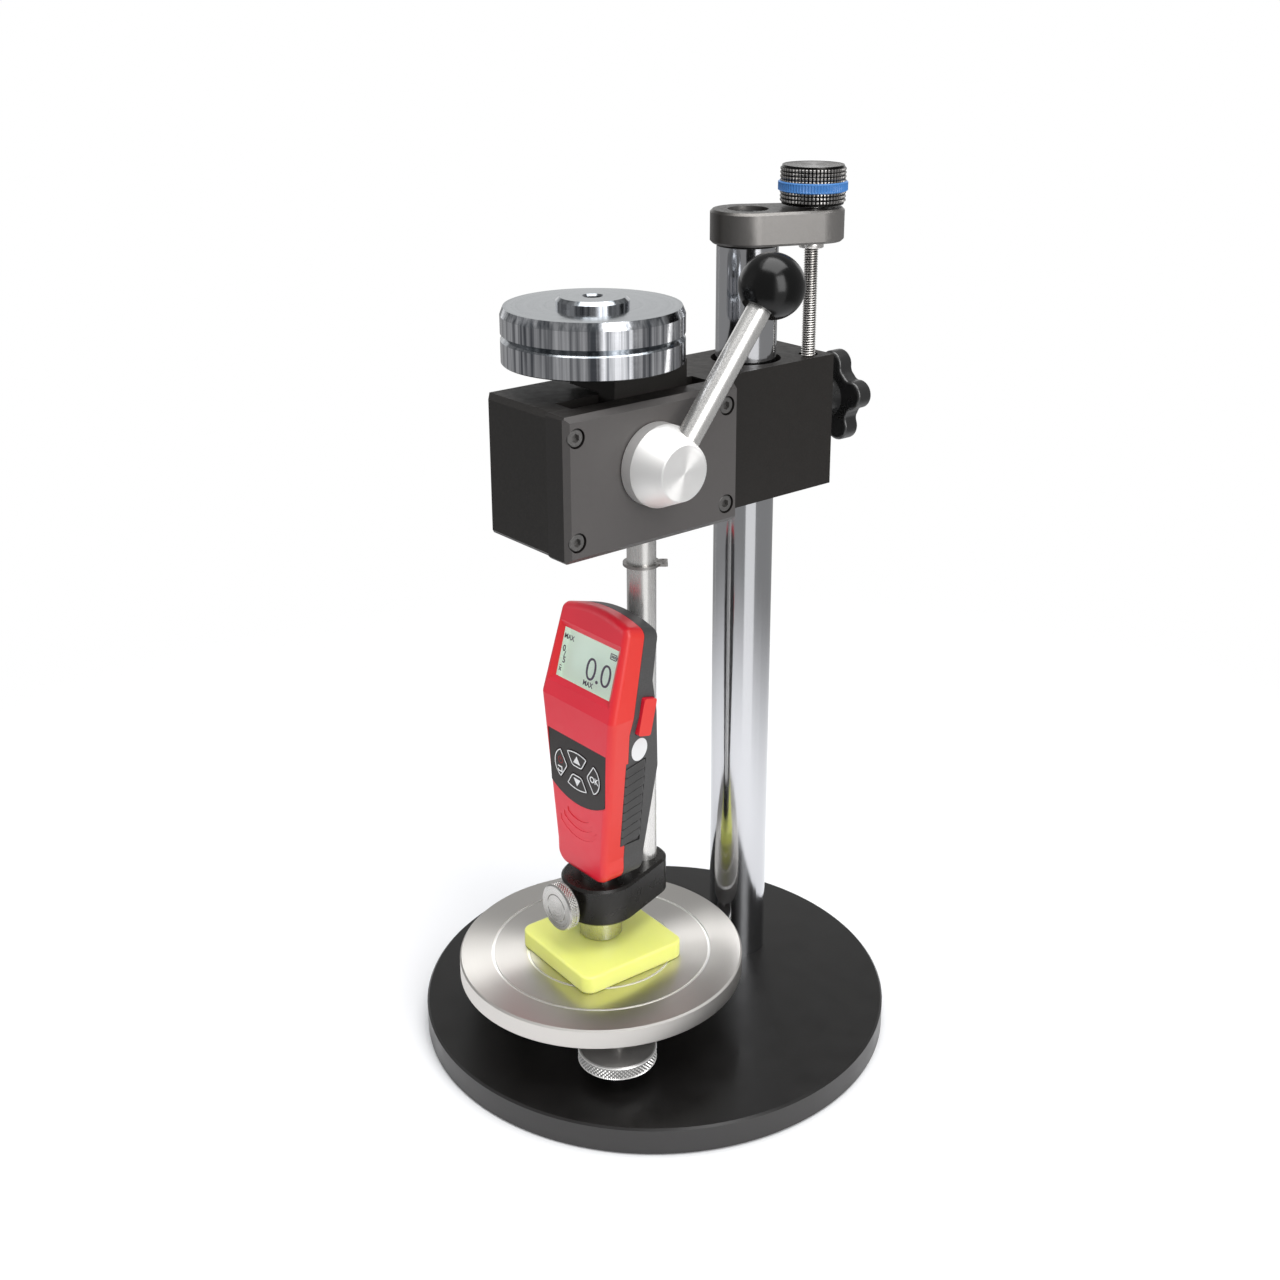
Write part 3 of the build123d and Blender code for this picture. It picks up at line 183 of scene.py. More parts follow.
# Grey panels: they stand round the room for the reflections. Only polished surfaces show them, as
# the dark bands along the metal.
panel_away, panel_middle, panel_steps = 2.2, 0.15, 12
panel_foot, panel_head = -65, 60
panel_grey = finish("panel_grey", (0, 0, 0), 0, 1, Specular_IOR_Level=0, Emission_Color=(1, 1, 1, 1),
                    Emission_Strength=0.3)
panel_grey.cycles.emission_sampling = "NONE"


def panel(name, start, end, low, high):
    """A curved panel between two directions and between two slopes, all in degrees."""
    card = bmesh.new()
    turns = [math.radians(start + (end - start) * i / panel_steps) for i in range(panel_steps + 1)]
    rows = []
    for slope in (math.radians(low), math.radians(high)):
        away, height = panel_away * math.cos(slope), panel_middle + panel_away * math.sin(slope)
        rows.append([card.verts.new((away * math.cos(a), away * math.sin(a), height)) for a in turns])
    for i in range(panel_steps):
        card.faces.new((rows[0][i], rows[0][i + 1], rows[1][i + 1], rows[1][i]))
    thing = stage_object(name, card, panel_grey)
    thing.visible_camera = thing.visible_diffuse = thing.visible_shadow = False


panel("panel_back_right", 9, 95, panel_foot, panel_head)
panel("panel_front", -101, -31, panel_foot, panel_head)
panel("panel_left", 185, 259, panel_foot, panel_head)
panel("panel_high", 95, 185, 24, panel_head)
panel("panel_low", 95, 185, panel_foot, 2)


# The base: a turned cast iron plate, sprayed satin black. Its rim is painted greyer and its flat top
# darker, as painted light and shade by facing.
def dress(mat, *nodes):
    """Gives CAD pieces their finish."""
    for node in nodes:
        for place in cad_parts[node].material_slots:
            place.material = mat


def relief(mat, value, depth):
    """A fine surface relief of a depth in metres."""
    bump = add_node(mat, "ShaderNodeBump")
    bump.inputs["Strength"].default_value = 1
    bump.inputs["Distance"].default_value = depth
    wire(mat, value, bump.inputs["Height"])
    wire(mat, bump.outputs["Normal"], socket(mat, "Normal"))


def tint(mat, amount, colour):
    """Turns the base colour into another one where the amount is 1."""
    blend = add_node(mat, "ShaderNodeMixRGB")
    base = socket(mat, "Base Color")
    blend.inputs["Color1"].default_value = base.default_value
    if base.links:
        wire(mat, base.links[0].from_socket, blend.inputs["Color1"])
    blend.inputs["Color2"].default_value = (*colour, 1)
    wire(mat, amount, blend.inputs["Fac"])
    wire(mat, blend.outputs[0], base)


def facing_painted_light(mat, axis, colour):
    """Paints the faces that look along an axis a tone of their own: painted light and shade by facing."""
    split = add_node(mat, "ShaderNodeSeparateXYZ")
    wire(mat, add_node(mat, "ShaderNodeNewGeometry").outputs["Normal"], split.inputs[0])
    facing = add_node(mat, "ShaderNodeMath", operation="ABSOLUTE")
    wire(mat, split.outputs[axis], facing.inputs[0])
    tint(mat, facing.outputs[0], colour)


base_paint = finish("base_paint", (0.035, 0.0335, 0.033), 0, 0.34, Specular_IOR_Level=0.4)
# Painted light and shade: the flat top gets a darker tone than the rim.
facing_painted_light(base_paint, "Z", (0.005, 0.0045, 0.0042))
wander(base_paint, "Roughness", speckle(base_paint, 0.012), 0.30, 0.40)
relief(base_paint, speckle(base_paint, 0.0011, detail=2), 0.000012)
dress(base_paint, "base_plate")


# The socket head screws: blackened steel in the base, the bracket, the rack, the clamp and the
# housing. The same screws on the arm's cover are coloured grey, as a painted sheen.
screw_black = finish("screw_black", (0.018, 0.018, 0.02), 0.4, 0.42)
wander(screw_black, "Roughness", speckle(screw_black, 0.0008), 0.34, 0.5)
dress(screw_black, "base_screws", "bracket_screw", "rack_screws", "rod_set_screw", "shell_screws")
# Painted sheen: the cover's blackened screws get a light grey colour.
screw_painted_sheen = finish("screw_painted_sheen", (0.2, 0.195, 0.19), 0.85, 0.42)
wander(screw_painted_sheen, "Roughness", speckle(screw_painted_sheen, 0.0008), 0.36, 0.48)
dress(screw_painted_sheen, "cover_screws")


# The column: a ground steel bar with a polished hard chrome skin, screwed to the base from below.
# The polish leaves faint marks along it.
chrome = finish("chrome", (0.6, 0.605, 0.625), 1, 0.12)
wander(chrome, "Roughness", speckle(chrome, 0.002, (1, 1, 30)), 0.09, 0.15)
dress(chrome, "column")


# The top bracket: a milled aluminium strap, black anodised, screwed on the column. It carries the
# lift spindle. Its sides are painted paler than its top, as painted light by facing.
bracket_black = finish("bracket_black", (0.04, 0.037, 0.034), 0.7, 0.34, Specular_IOR_Level=0.4)
# Painted light: the sides that look along X get a paler tone.
facing_painted_light(bracket_black, "X", (0.24, 0.23, 0.22))
wander(bracket_black, "Roughness", speckle(bracket_black, 0.001), 0.3, 0.44)
relief(bracket_black, speckle(bracket_black, 0.00025), 0.000006)
dress(bracket_black, "top_bracket")


# The levelling table: a stainless disc, faced on the lathe with two ring grooves, which are painted
# near white as a painted highlight. It stands on a post in the base and on three screws.
across = {"X": (0, 1, 1), "Y": (1, 0, 1), "Z": (1, 1, 0)}  # the two directions across each axis


def seen_from(mat, centre):
    """A point's place, seen from a point on a turning axis."""
    shift = add_node(mat, "ShaderNodeVectorMath", operation="SUBTRACT")
    shift.inputs[1].default_value = centre
    wire(mat, piece_space(mat), shift.inputs[0])
    return shift.outputs[0]


def off_axis(mat, centre, axis):
    """A point's distance from a turning axis."""
    flat = add_node(mat, "ShaderNodeVectorMath", operation="MULTIPLY")
    flat.inputs[1].default_value = across[axis]
    wire(mat, seen_from(mat, centre), flat.inputs[0])
    radius = add_node(mat, "ShaderNodeVectorMath", operation="LENGTH")
    wire(mat, flat.outputs[0], radius.inputs[0])
    return radius.outputs["Value"]


def lathe_marks(mat, centre, axis, pitch):
    """Noise that changes only with the distance from a turning axis and along it."""
    along = add_node(mat, "ShaderNodeVectorMath", operation="DOT_PRODUCT")
    along.inputs[1].default_value = [1 - flat for flat in across[axis]]
    wire(mat, seen_from(mat, centre), along.inputs[0])
    total = add_node(mat, "ShaderNodeMath", operation="ADD")
    wire(mat, off_axis(mat, centre, axis), total.inputs[0])
    wire(mat, along.outputs["Value"], total.inputs[1])
    marks = add_node(mat, "ShaderNodeTexNoise", noise_dimensions="1D")
    marks.inputs["Scale"].default_value = 1 / pitch
    marks.inputs["Detail"].default_value = 4
    wire(mat, total.outputs[0], marks.inputs["W"])
    return marks.outputs[0]


def turned_sheen(mat, axis, amount):
    """Lathe-turned metal spreads its highlights across the marks."""
    tangent = add_node(mat, "ShaderNodeTangent", direction_type="RADIAL", axis=axis)
    wire(mat, tangent.outputs[0], socket(mat, "Tangent"))
    socket(mat, "Anisotropic").default_value = amount


table_axis = (0, -0.0298, 0)
groove_radii, groove_half = (0.031, 0.046), 0.0006
table_steel = finish("table_steel", (0.66, 0.64, 0.61), 1, 0.3)
turned_sheen(table_steel, "Z", 0.92)
table_marks = lathe_marks(table_steel, table_axis, "Z", 0.0006)
wander(table_steel, "Roughness", table_marks, 0.36, 0.42)
relief(table_steel, table_marks, 0.0000002)
table_radius = off_axis(table_steel, table_axis, "Z")
# Painted highlight: the two ring grooves are tinted near white.
groove_painted_highlight = add_node(table_steel, "ShaderNodeMath", operation="ADD")
for number, groove_r in enumerate(groove_radii):
    near = add_node(table_steel, "ShaderNodeMath", operation="COMPARE")
    near.inputs[1].default_value = groove_r
    near.inputs[2].default_value = groove_half
    wire(table_steel, table_radius, near.inputs[0])
    wire(table_steel, near.outputs[0], groove_painted_highlight.inputs[number])
tint(table_steel, groove_painted_highlight.outputs[0], (1, 1, 0.98))
dress(table_steel, "table")


# The plain steel pieces: the table's post, the washer, studs, shaft, pinion and rack, and the gauge's
# neck, load cell, foot and indenter. They are left as they come from the machine.
steel_plain = finish("steel_plain", (0.56, 0.55, 0.53), 1, 0.28)
wander(steel_plain, "Roughness", speckle(steel_plain, 0.0007, (1, 1, 0.2)), 0.22, 0.36)
dress(steel_plain, "table_post", "thrust_washer", "clamp_stud", "lever_shaft", "pinion", "rack",
      "weight_stud", "presser_foot", "sensor_neck", "indenter", "load_cell")


# The three levelling screws: turned steel discs with a diamond knurl rolled into the rim, on threaded
# studs whose ball tips stand in the base. They lift the table at three points.
def two_tone(mat, value, dark, light):
    """A base colour that goes between two tones with a value."""
    dark_until, light_from = 0.35, 0.65
    ramp = add_node(mat, "ShaderNodeValToRGB")
    for stop, place, tone in zip(ramp.color_ramp.elements, (dark_until, light_from), (dark, light)):
        stop.position = place
        stop.color = (*tone, 1)
    wire(mat, value, ramp.inputs["Fac"])
    wire(mat, ramp.outputs["Color"], socket(mat, "Base Color"))


def groove_painted_shade(mat, centre, axis, deep, land, dark, light):
    """Paints shade into the grooves of a thread or a knurl and light on its tips, by their distance from its
    axis.
    """
    two_tone(mat, spread(mat, off_axis(mat, centre, axis), deep, land), dark, light)


def closed_mesh(shape, name, mat, body, sharp=32):
    """Turns a bmesh into a piece that rides on a body, with edges kept sharp over an angle."""
    bmesh.ops.recalc_face_normals(shape, faces=shape.faces)
    for face in shape.faces:
        face.smooth = True
    for edge in shape.edges:
        edge.smooth = len(edge.link_faces) == 2 and edge.calc_face_angle(0) < math.radians(sharp)
    mesh = bpy.data.meshes.new(name)
    shape.to_mesh(mesh)
    shape.free()
    piece = bpy.data.objects.new(name, mesh)
    piece.data.materials.append(mat)
    bpy.context.scene.collection.objects.link(piece)
    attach(piece, body)
    return piece


def turned(profile, around, wave=None):
    """Spins a half section, given as radius and height from axis to axis, and lets a rim wave."""
    shape = bmesh.new()
    rows = []
    for r, z in profile:
        if r == 0:
            rows.append([shape.verts.new((0, 0, z))])
            continue
        row = []
        for i in range(around):
            a = 2 * math.pi * i / around
            here = wave(r, a, z) if wave else r
            row.append(shape.verts.new((here * math.cos(a), here * math.sin(a), z)))
        rows.append(row)
    for low, high in zip(rows, rows[1:]):
        for i in range(around):
            j = (i + 1) % around
            if len(low) == 1:
                shape.faces.new((low[0], high[j], high[i]))
            elif len(high) == 1:
                shape.faces.new((low[i], low[j], high[0]))
            else:
                shape.faces.new((low[i], low[j], high[j], high[i]))
    return shape


hair = 1e-7  # sizes that differ by less are the same


def diamond_knurl(r_rim, z_low, z_high, teeth, depth):
    """Two sets of crossing grooves round a rim, which leave small pyramids with flat tips."""
    pitch, flank = 2 * math.pi * r_rim / teeth, 1.25

    def wave(r, a, z):
        if r < r_rim - hair or not z_low < z < z_high:
            return r
        turn, rise = teeth * a / (2 * math.pi), (z - z_low) / pitch
        height = min(1 - abs(2 * (groove % 1) - 1) for groove in (turn + rise, turn - rise))
        return r - depth * (1 - min(1, flank * height))

    return wave, pitch


def rim_rows(r, z_low, z_high, pitch):
    """Heights for a knurled rim, four rows to a pitch."""
    count = max(4, round(4 * (z_high - z_low) / pitch))
    return [(r, z_low + (z_high - z_low) * i / count) for i in range(count + 1)]


level_ring_r, level_turns = 0.044, (-30, 90, 210)
level_r, level_low, level_high, level_face_r = 0.016, 0.018, 0.024, 0.0153
level_knurl_low, level_knurl_high, level_knurl_deep, level_teeth = 0.0187, 0.0233, 0.0006, 60
level_stud_r, level_stud_low, level_stud_high, level_bevel = 0.003, 0.0172, 0.0365, 0.0004
level_ball_r, level_ball_z, level_ball_rows, level_ball_step = 0.004, 0.0145, 12, 11
level_wave, level_pitch = diamond_knurl(level_r, level_knurl_low, level_knurl_high, level_teeth,
                                        level_knurl_deep)
level_profile = []
for i in range(level_ball_rows):
    a = math.radians(level_ball_step * i)
    level_profile.append((level_ball_r * math.sin(a), level_ball_z - level_ball_r * math.cos(a)))
level_profile += [(level_stud_r, level_stud_low), (level_stud_r, level_low), (level_face_r, level_low)]
level_profile += rim_rows(level_r, level_knurl_low, level_knurl_high, level_pitch)
level_profile += [(level_face_r, level_high), (level_stud_r + level_bevel, level_high),
                  (level_stud_r, level_high + level_bevel), (level_stud_r, level_stud_high - level_bevel),
                  (level_stud_r - level_bevel, level_stud_high), (0, level_stud_high)]
for number, turn in enumerate(level_turns, start=1):
    x = level_ring_r * math.cos(math.radians(turn))
    y = table_axis[1] + level_ring_r * math.sin(math.radians(turn))
    level_steel = finish(f"level_steel_{number}", (0.8, 0.79, 0.77), 0.7, 0.34)
    wander(level_steel, "Roughness", speckle(level_steel, 0.0006), 0.31, 0.37)
    # Painted shade and highlight: darker grey in the knurl's grooves and on every face inside the rim, near
    # white on the tips.
    groove_painted_shade(level_steel, (x, y, 0), "Z", level_r - level_knurl_deep, level_r,
                (0.42, 0.41, 0.4), (0.98, 0.97, 0.95))
    screw = turned(level_profile, around=240, wave=level_wave)
    bmesh.ops.translate(screw, verts=screw.verts, vec=(x, y, 0))
    node = f"levelling_screw_{number}"
    piece = closed_mesh(screw, f"{node}_knurled", level_steel, node)
    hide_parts(node)


# The test block: a cast plate of fluorescent yellow elastomer with rounded edges, which lies loose
# on the table. Light gets into it and glows at the edges.
block_yellow = finish("block_yellow", (0.9, 0.96, 0.25), 0, 0.36, Subsurface_Weight=0.55,
                      Subsurface_Radius=(0.006, 0.0065, 0.002), Subsurface_Scale=1.0, Coat_Weight=0.15)
wander(block_yellow, "Roughness", speckle(block_yellow, 0.004), 0.30, 0.42)
relief(block_yellow, speckle(block_yellow, 0.0009), 0.000008)
dress(block_yellow, "test_block")


# The arm and the carrier: aluminium blocks, bead blasted and black anodised. The arm slides on the
# column, and the carrier rides in it with the weights on top.
arm_black = finish("arm_black", (0.016, 0.0145, 0.013), 0, 0.5, Specular_IOR_Level=0.35)
wander(arm_black, "Roughness", speckle(arm_black, 0.003), 0.46, 0.56)
two_tone(arm_black, speckle(arm_black, 0.0007, detail=5), (0.0115, 0.0100, 0.0088), (0.0155, 0.0135, 0.0118))
relief(arm_black, speckle(arm_black, 0.00035), 0.00001)
dress(arm_black, "arm_body", "carrier_block")


# The arm's cover: an anodised plate that closes the rack's pocket on the lever's side with four
# screws. Its broad face is painted grey beside the arm, as painted light by facing.
cover_black = finish("cover_black", (0.014, 0.012, 0.011), 0, 0.46, Specular_IOR_Level=0.4)
# Painted light: the broad face, which looks along X, gets a grey tone.
facing_painted_light(cover_black, "X", (0.088, 0.082, 0.079))
wander(cover_black, "Roughness", speckle(cover_black, 0.003), 0.42, 0.52)
relief(cover_black, speckle(cover_black, 0.00035), 0.00001)
dress(cover_black, "arm_cover")


# The bushes, the spindle's nut and the clamp's pad: turned bearing bronze, seated in the arm and in
# its cover.
bronze = finish("bronze", (0.42, 0.27, 0.13), 1, 0.45)
wander(bronze, "Roughness", speckle(bronze, 0.0005), 0.4, 0.55)
dress(bronze, "rod_bushes", "shaft_bushes", "spindle_nut", "clamp_pad")


# The lift spindle: a steel bar with a rolled M6 thread and a thrust collar under the bracket. Its
# plain upper end goes through the bracket into the knob.
def threaded(shape_rows, r, z_low, z_high, pitch, depth):
    """Adds rows for a threaded length, six to a turn, and gives the wave that cuts the helix."""
    count = round(6 * (z_high - z_low) / pitch)
    shape_rows.extend((r, z_low + (z_high - z_low) * i / count) for i in range(count + 1))

    def wave(here, a, z):
        if abs(here - r) > hair or not z_low < z < z_high:
            return here
        turn = (z / pitch - a / (2 * math.pi)) % 1
        return here - depth * (1 - abs(2 * turn - 1))

    return wave


spindle_place = (0.012, 0.073, 0)
spindle_low, spindle_high, spindle_end_r = 0.233, 0.3602, 0.0029
end_bevel_r, end_bevel_z = 0.0003, 0.0002
thread_r, thread_low, thread_high, thread_pitch, thread_deep = 0.003, 0.2335, 0.3308, 0.001, 0.0006
collar_r, collar_low, collar_high, collar_bevel = 0.005, 0.331, 0.3337, 0.0002
spindle_profile = [(0, spindle_low), (thread_r - thread_deep, spindle_low)]
helix = threaded(spindle_profile, thread_r, thread_low, thread_high, thread_pitch, thread_deep)
spindle_profile += [(thread_r, collar_low), (collar_r - collar_bevel, collar_low),
                    (collar_r, collar_low + collar_bevel), (collar_r, collar_high - collar_bevel),
                    (collar_r - collar_bevel, collar_high), (spindle_end_r, collar_high),
                    (spindle_end_r, spindle_high - end_bevel_z), (spindle_end_r - end_bevel_r, spindle_high),
                    (0, spindle_high)]
spindle = turned(spindle_profile, around=32, wave=helix)
bmesh.ops.translate(spindle, verts=spindle.verts, vec=spindle_place)
spindle_steel = finish("spindle_steel", (0.7, 0.68, 0.65), 0.9, 0.26)
wander(spindle_steel, "Roughness", speckle(spindle_steel, 0.0007), 0.22, 0.32)
# Painted shade in the thread's roots and painted light on its crests.
groove_painted_shade(spindle_steel, spindle_place, "Z", thread_r - thread_deep, thread_r,
            (0.14, 0.135, 0.13), (0.82, 0.8, 0.77))
piece = closed_mesh(spindle, "threaded_spindle", spindle_steel, "lift_spindle", sharp=50)
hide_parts("lift_spindle")


# The spindle's knob: black anodised aluminium with a square knurl above and below the seat of its
# ring, fixed on the spindle's end. Its top is turned bare.
def square_knurl(r_rim, z_start, teeth, depth):
    """Upright and level grooves round a rim, which leave rows of square pyramids with flat tips."""
    pitch, flank = 2 * math.pi * r_rim / teeth, 1.7

    def wave(r, a, z):
        if r < r_rim - hair:
            return r
        grooves = (teeth * a / (2 * math.pi), (z - z_start) / pitch)
        height = min(1 - abs(2 * (groove % 1) - 1) for groove in grooves)
        return r - depth * (1 - min(1, flank * height))

    return wave, pitch


knob_r, knob_low, knob_high, knob_bevel, knob_face_r = 0.0132, 0.3486, 0.364, 0.0008, 0.0124
knob_knurl_deep, knob_teeth = 0.0006, 54
ring_low, ring_high = 0.3537, 0.3577
seat_r, seat_edge = 0.0122, 0.0001
recess_r, recess_deep = 0.0120, 0.0002
knob_anodised = finish("knob_anodised", (0.03, 0.0285, 0.027), 0.8, 0.24, Specular_IOR_Level=0.5)
# Painted shade in the knurl's grooves and on the faces inside the rim, painted glints on its tips.
groove_painted_shade(knob_anodised, spindle_place, "Z", knob_r - knob_knurl_deep, knob_r,
            (0.008, 0.0075, 0.007), (0.3, 0.29, 0.28))
wander(knob_anodised, "Roughness", speckle(knob_anodised, 0.0006), 0.2, 0.3)
knob_wave, knob_pitch = square_knurl(knob_r, knob_low + knob_bevel, knob_teeth, knob_knurl_deep)
knob_profile = [(0, knob_low), (knob_face_r, knob_low)]
knob_profile += rim_rows(knob_r, knob_low + knob_bevel, ring_low, knob_pitch)
knob_profile += [(seat_r, ring_low + seat_edge), (seat_r, ring_high - seat_edge)]
knob_profile += rim_rows(knob_r, ring_high, knob_high - knob_bevel, knob_pitch)
knob_profile += [(knob_face_r, knob_high), (recess_r, knob_high - recess_deep), (0, knob_high - recess_deep)]
knob = turned(knob_profile, around=216, wave=knob_wave)
bmesh.ops.translate(knob, verts=knob.verts, vec=spindle_place)
piece = closed_mesh(knob, "knurled_knob", knob_anodised, "lift_spindle")
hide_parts("spindle_knob")

knob_top = finish("knob_top", (0.16, 0.155, 0.15), 0.9, 0.3)
turned_sheen(knob_top, "Z", 0.7)
wander(knob_top, "Roughness", lathe_marks(knob_top, spindle_place, "Z", 0.0006), 0.24, 0.4)
top_profile = [(r, knob_high - below) for r, below in (
    (0, 0.00025), (0.0117, 0.00025), (0.0119, 0.00015), (0.0117, 0.00003), (0.0112, 0.0001), (0, 0.0001))]
disc = turned(top_profile, around=128)
bmesh.ops.translate(disc, verts=disc.verts, vec=spindle_place)
closed_mesh(disc, "knob_turned_top", knob_top, "lift_spindle")


# The ring on the knob: blue moulded plastic with fine upright ribs and rounded edges. It sits in the
# knob's groove between the two knurled bands.
ring_r, ring_hole_r, ring_edge_r, ring_edge = 0.014, 0.0123, 0.0134, 0.0003
ring_shoulder_r, tenth = 0.0138, 0.0001
rib_edge, rib_deep, rib_count = 0.0004, 0.00035, 70


def ribbed(r, a, z):
    """Fine upright ribs round the ring's rim."""
    if r < ring_r - hair or not ring_low + rib_edge < z < ring_high - rib_edge:
        return r
    return r - rib_deep * (0.5 - 0.5 * math.cos(rib_count * a))


ring_blue = finish("ring_blue", (0.055, 0.2, 0.5), 0, 0.36)
wander(ring_blue, "Roughness", speckle(ring_blue, 0.001), 0.27, 0.38)
ring_profile = [(ring_edge_r, ring_low), (ring_shoulder_r, ring_low + ring_edge)]
ring_profile += [(ring_r, ring_low + tenth * up) for up in (4, 8, 20, 32, 36)]
ring_profile += [(ring_shoulder_r, ring_high - ring_edge), (ring_edge_r, ring_high), (ring_hole_r, ring_high),
                 (ring_hole_r, ring_low), (ring_edge_r, ring_low)]
ring = turned(ring_profile, around=560, wave=ribbed)
bmesh.ops.remove_doubles(ring, verts=ring.verts, dist=hair)
bmesh.ops.translate(ring, verts=ring.verts, vec=spindle_place)
piece = closed_mesh(ring, "ribbed_ring", ring_blue, "lift_spindle")
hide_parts("knob_ring")


# The clamp knob: a star grip of black phenolic, moulded on a steel stud. It fixes the arm's height
# through a bronze pad on the column.
star_black = finish("star_black", (0.012, 0.012, 0.012), 0, 0.3, Specular_IOR_Level=0.8)
wander(star_black, "Roughness", speckle(star_black, 0.005), 0.26, 0.34)
dress(star_black, "clamp_knob")


# The lever: a turned steel hub on the pinion's shaft, a ground rod and a polished phenolic ball. The
# plunger's rod is ground in the same way.
lever_axis = (0, -0.026, 0.2632)
phenolic = finish("phenolic", (0.003, 0.003, 0.003), 0, 0.18, Specular_IOR_Level=0.3)
wander(phenolic, "Roughness", speckle(phenolic, 0.006), 0.15, 0.22)
dress(phenolic, "lever_ball")
rod_steel = finish("rod_steel", (0.74, 0.73, 0.71), 0.82, 0.28)
wander(rod_steel, "Roughness", speckle(rod_steel, 0.0004, (1, 1, 30)), 0.24, 0.32)
dress(rod_steel, "lever_rod", "plunger_rod")
hub_steel = finish("hub_steel", (0.97, 0.96, 0.94), 0.72, 0.4)
turned_sheen(hub_steel, "X", 0.9)
wander(hub_steel, "Roughness", lathe_marks(hub_steel, lever_axis, "X", 0.0008), 0.38, 0.43)
dress(hub_steel, "lever_hub")


# The retaining clip: a spring steel ring with two ears, sprung on the plunger's rod. It stops the
# plunger under the arm.
clip_steel = finish("clip_steel", (0.34, 0.33, 0.32), 1, 0.35)
wander(clip_steel, "Roughness", speckle(clip_steel, 0.0005), 0.3, 0.42)
dress(clip_steel, "retaining_clip")


# The two ring weights: stainless steel, faced and polished on the lathe, screwed on the carrier with
# a stud. The upper one has a boss with a tapped hole for a further weight.
weight_streak = (1, 1, 60)
weight_steel = finish("weight_steel", (0.6, 0.61, 0.64), 1, 0.13)
turned_sheen(weight_steel, "Z", 0.4)
wander(weight_steel, "Roughness", lathe_marks(weight_steel, table_axis, "Z", 0.0015), 0.1, 0.17)
relief(weight_steel, speckle(weight_steel, 0.003, weight_streak, detail=2), 0.00002)
# Painted reflections: upright streaks in the base colour, between dark and bright grey.
two_tone(weight_steel, speckle(weight_steel, 0.0022, weight_streak, detail=4), (0.14, 0.15, 0.17),
         (0.95, 0.96, 1))
# Painted light and shade: the faces that look up get a blue grey of their own.
facing_painted_light(weight_steel, "Z", (0.18, 0.2, 0.215))
dress(weight_steel, "weight_lower", "weight_upper")


# The gauge clamp: a black anodised strap round the plunger's rod and the gauge's neck. A set screw
# holds it on the rod.
clamp_black = finish("clamp_black", (0.009, 0.008, 0.007), 0, 0.28, Specular_IOR_Level=0.4)
wander(clamp_black, "Roughness", speckle(clamp_black, 0.004), 0.26, 0.31)
dress(clamp_black, "gauge_clamp")


# The thumb screw: turned steel with a diamond knurl in its rim and a fine ring groove in its face. It
# goes into the clamp's front and holds the gauge's neck.
thumb_axis, thumb_seat_y = (0, 0, 0.06975), -0.048
thumb_r, thumb_face_r, thumb_high = 0.01, 0.0094, 0.0051
thumb_knurl_low, thumb_knurl_high, thumb_knurl_deep, thumb_teeth = 0.0006, 0.0045, 0.0005, 48
thumb_groove_r, thumb_groove_half, thumb_groove_deep = 0.0058, 0.0003, 0.0002
thumb_hub_r, thumb_hub_low = 0.004, -0.0018
thumb_stud_r, thumb_stud_low, thumb_stud_bevel = 0.0025, -0.0102, 0.0003
thumb_steel = finish("thumb_steel", (0.58, 0.57, 0.55), 1, 0.27)
turned_sheen(thumb_steel, "Y", 0.6)
wander(thumb_steel, "Roughness", lathe_marks(thumb_steel, thumb_axis, "Y", 0.0007), 0.22, 0.36)
thumb_wave, thumb_pitch = diamond_knurl(thumb_r, thumb_knurl_low, thumb_knurl_high, thumb_teeth,
                                        thumb_knurl_deep)
thumb_profile = [(0, thumb_high), (thumb_groove_r - thumb_groove_half, thumb_high),
                 (thumb_groove_r, thumb_high - thumb_groove_deep),
                 (thumb_groove_r + thumb_groove_half, thumb_high), (thumb_face_r, thumb_high)]
thumb_profile += rim_rows(thumb_r, thumb_knurl_low, thumb_knurl_high, thumb_pitch)[::-1]
thumb_profile += [(thumb_face_r, 0), (thumb_hub_r, 0), (thumb_hub_r, thumb_hub_low),
                  (thumb_stud_r, thumb_hub_low), (thumb_stud_r, thumb_stud_low + thumb_stud_bevel),
                  (thumb_stud_r - thumb_stud_bevel, thumb_stud_low), (0, thumb_stud_low)]
thumb = turned(thumb_profile, around=192, wave=thumb_wave)
thumb_place = Matrix.Translation((0, thumb_seat_y, thumb_axis[2])) @ Matrix.Rotation(math.radians(90), 4, "X")
bmesh.ops.transform(thumb, verts=thumb.verts, matrix=thumb_place)
piece = closed_mesh(thumb, "thumb_screw_knurled", thumb_steel, "thumb_screw")
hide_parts("thumb_screw")


# The gauge's housing: two moulded shells, a red front and a dark grey back with a fine spark-eroded
# texture, screwed together from behind, with a red button on the side.
shell_red = finish("shell_red", (0.84, 0.014, 0.04), 0, 0.38, Coat_Weight=0.12, Coat_Roughness=0.3)
# Painted light: the handle's sides, which look along X, get a red of their own.
facing_painted_light(shell_red, "X", (0.74, 0.034, 0.024))
wander(shell_red, "Roughness", speckle(shell_red, 0.004), 0.32, 0.42)
relief(shell_red, speckle(shell_red, 0.0004), 0.000006)
dress(shell_red, "front_shell", "side_button")
shell_grey = finish("shell_grey", (0.045, 0.045, 0.047), 0, 0.5)
relief(shell_grey, speckle(shell_grey, 0.0004), 0.00002)
two_tone(shell_grey, speckle(shell_grey, 0.0005, detail=4), (0.052, 0.051, 0.051), (0.07, 0.069, 0.068))
dress(shell_grey, "back_shell")


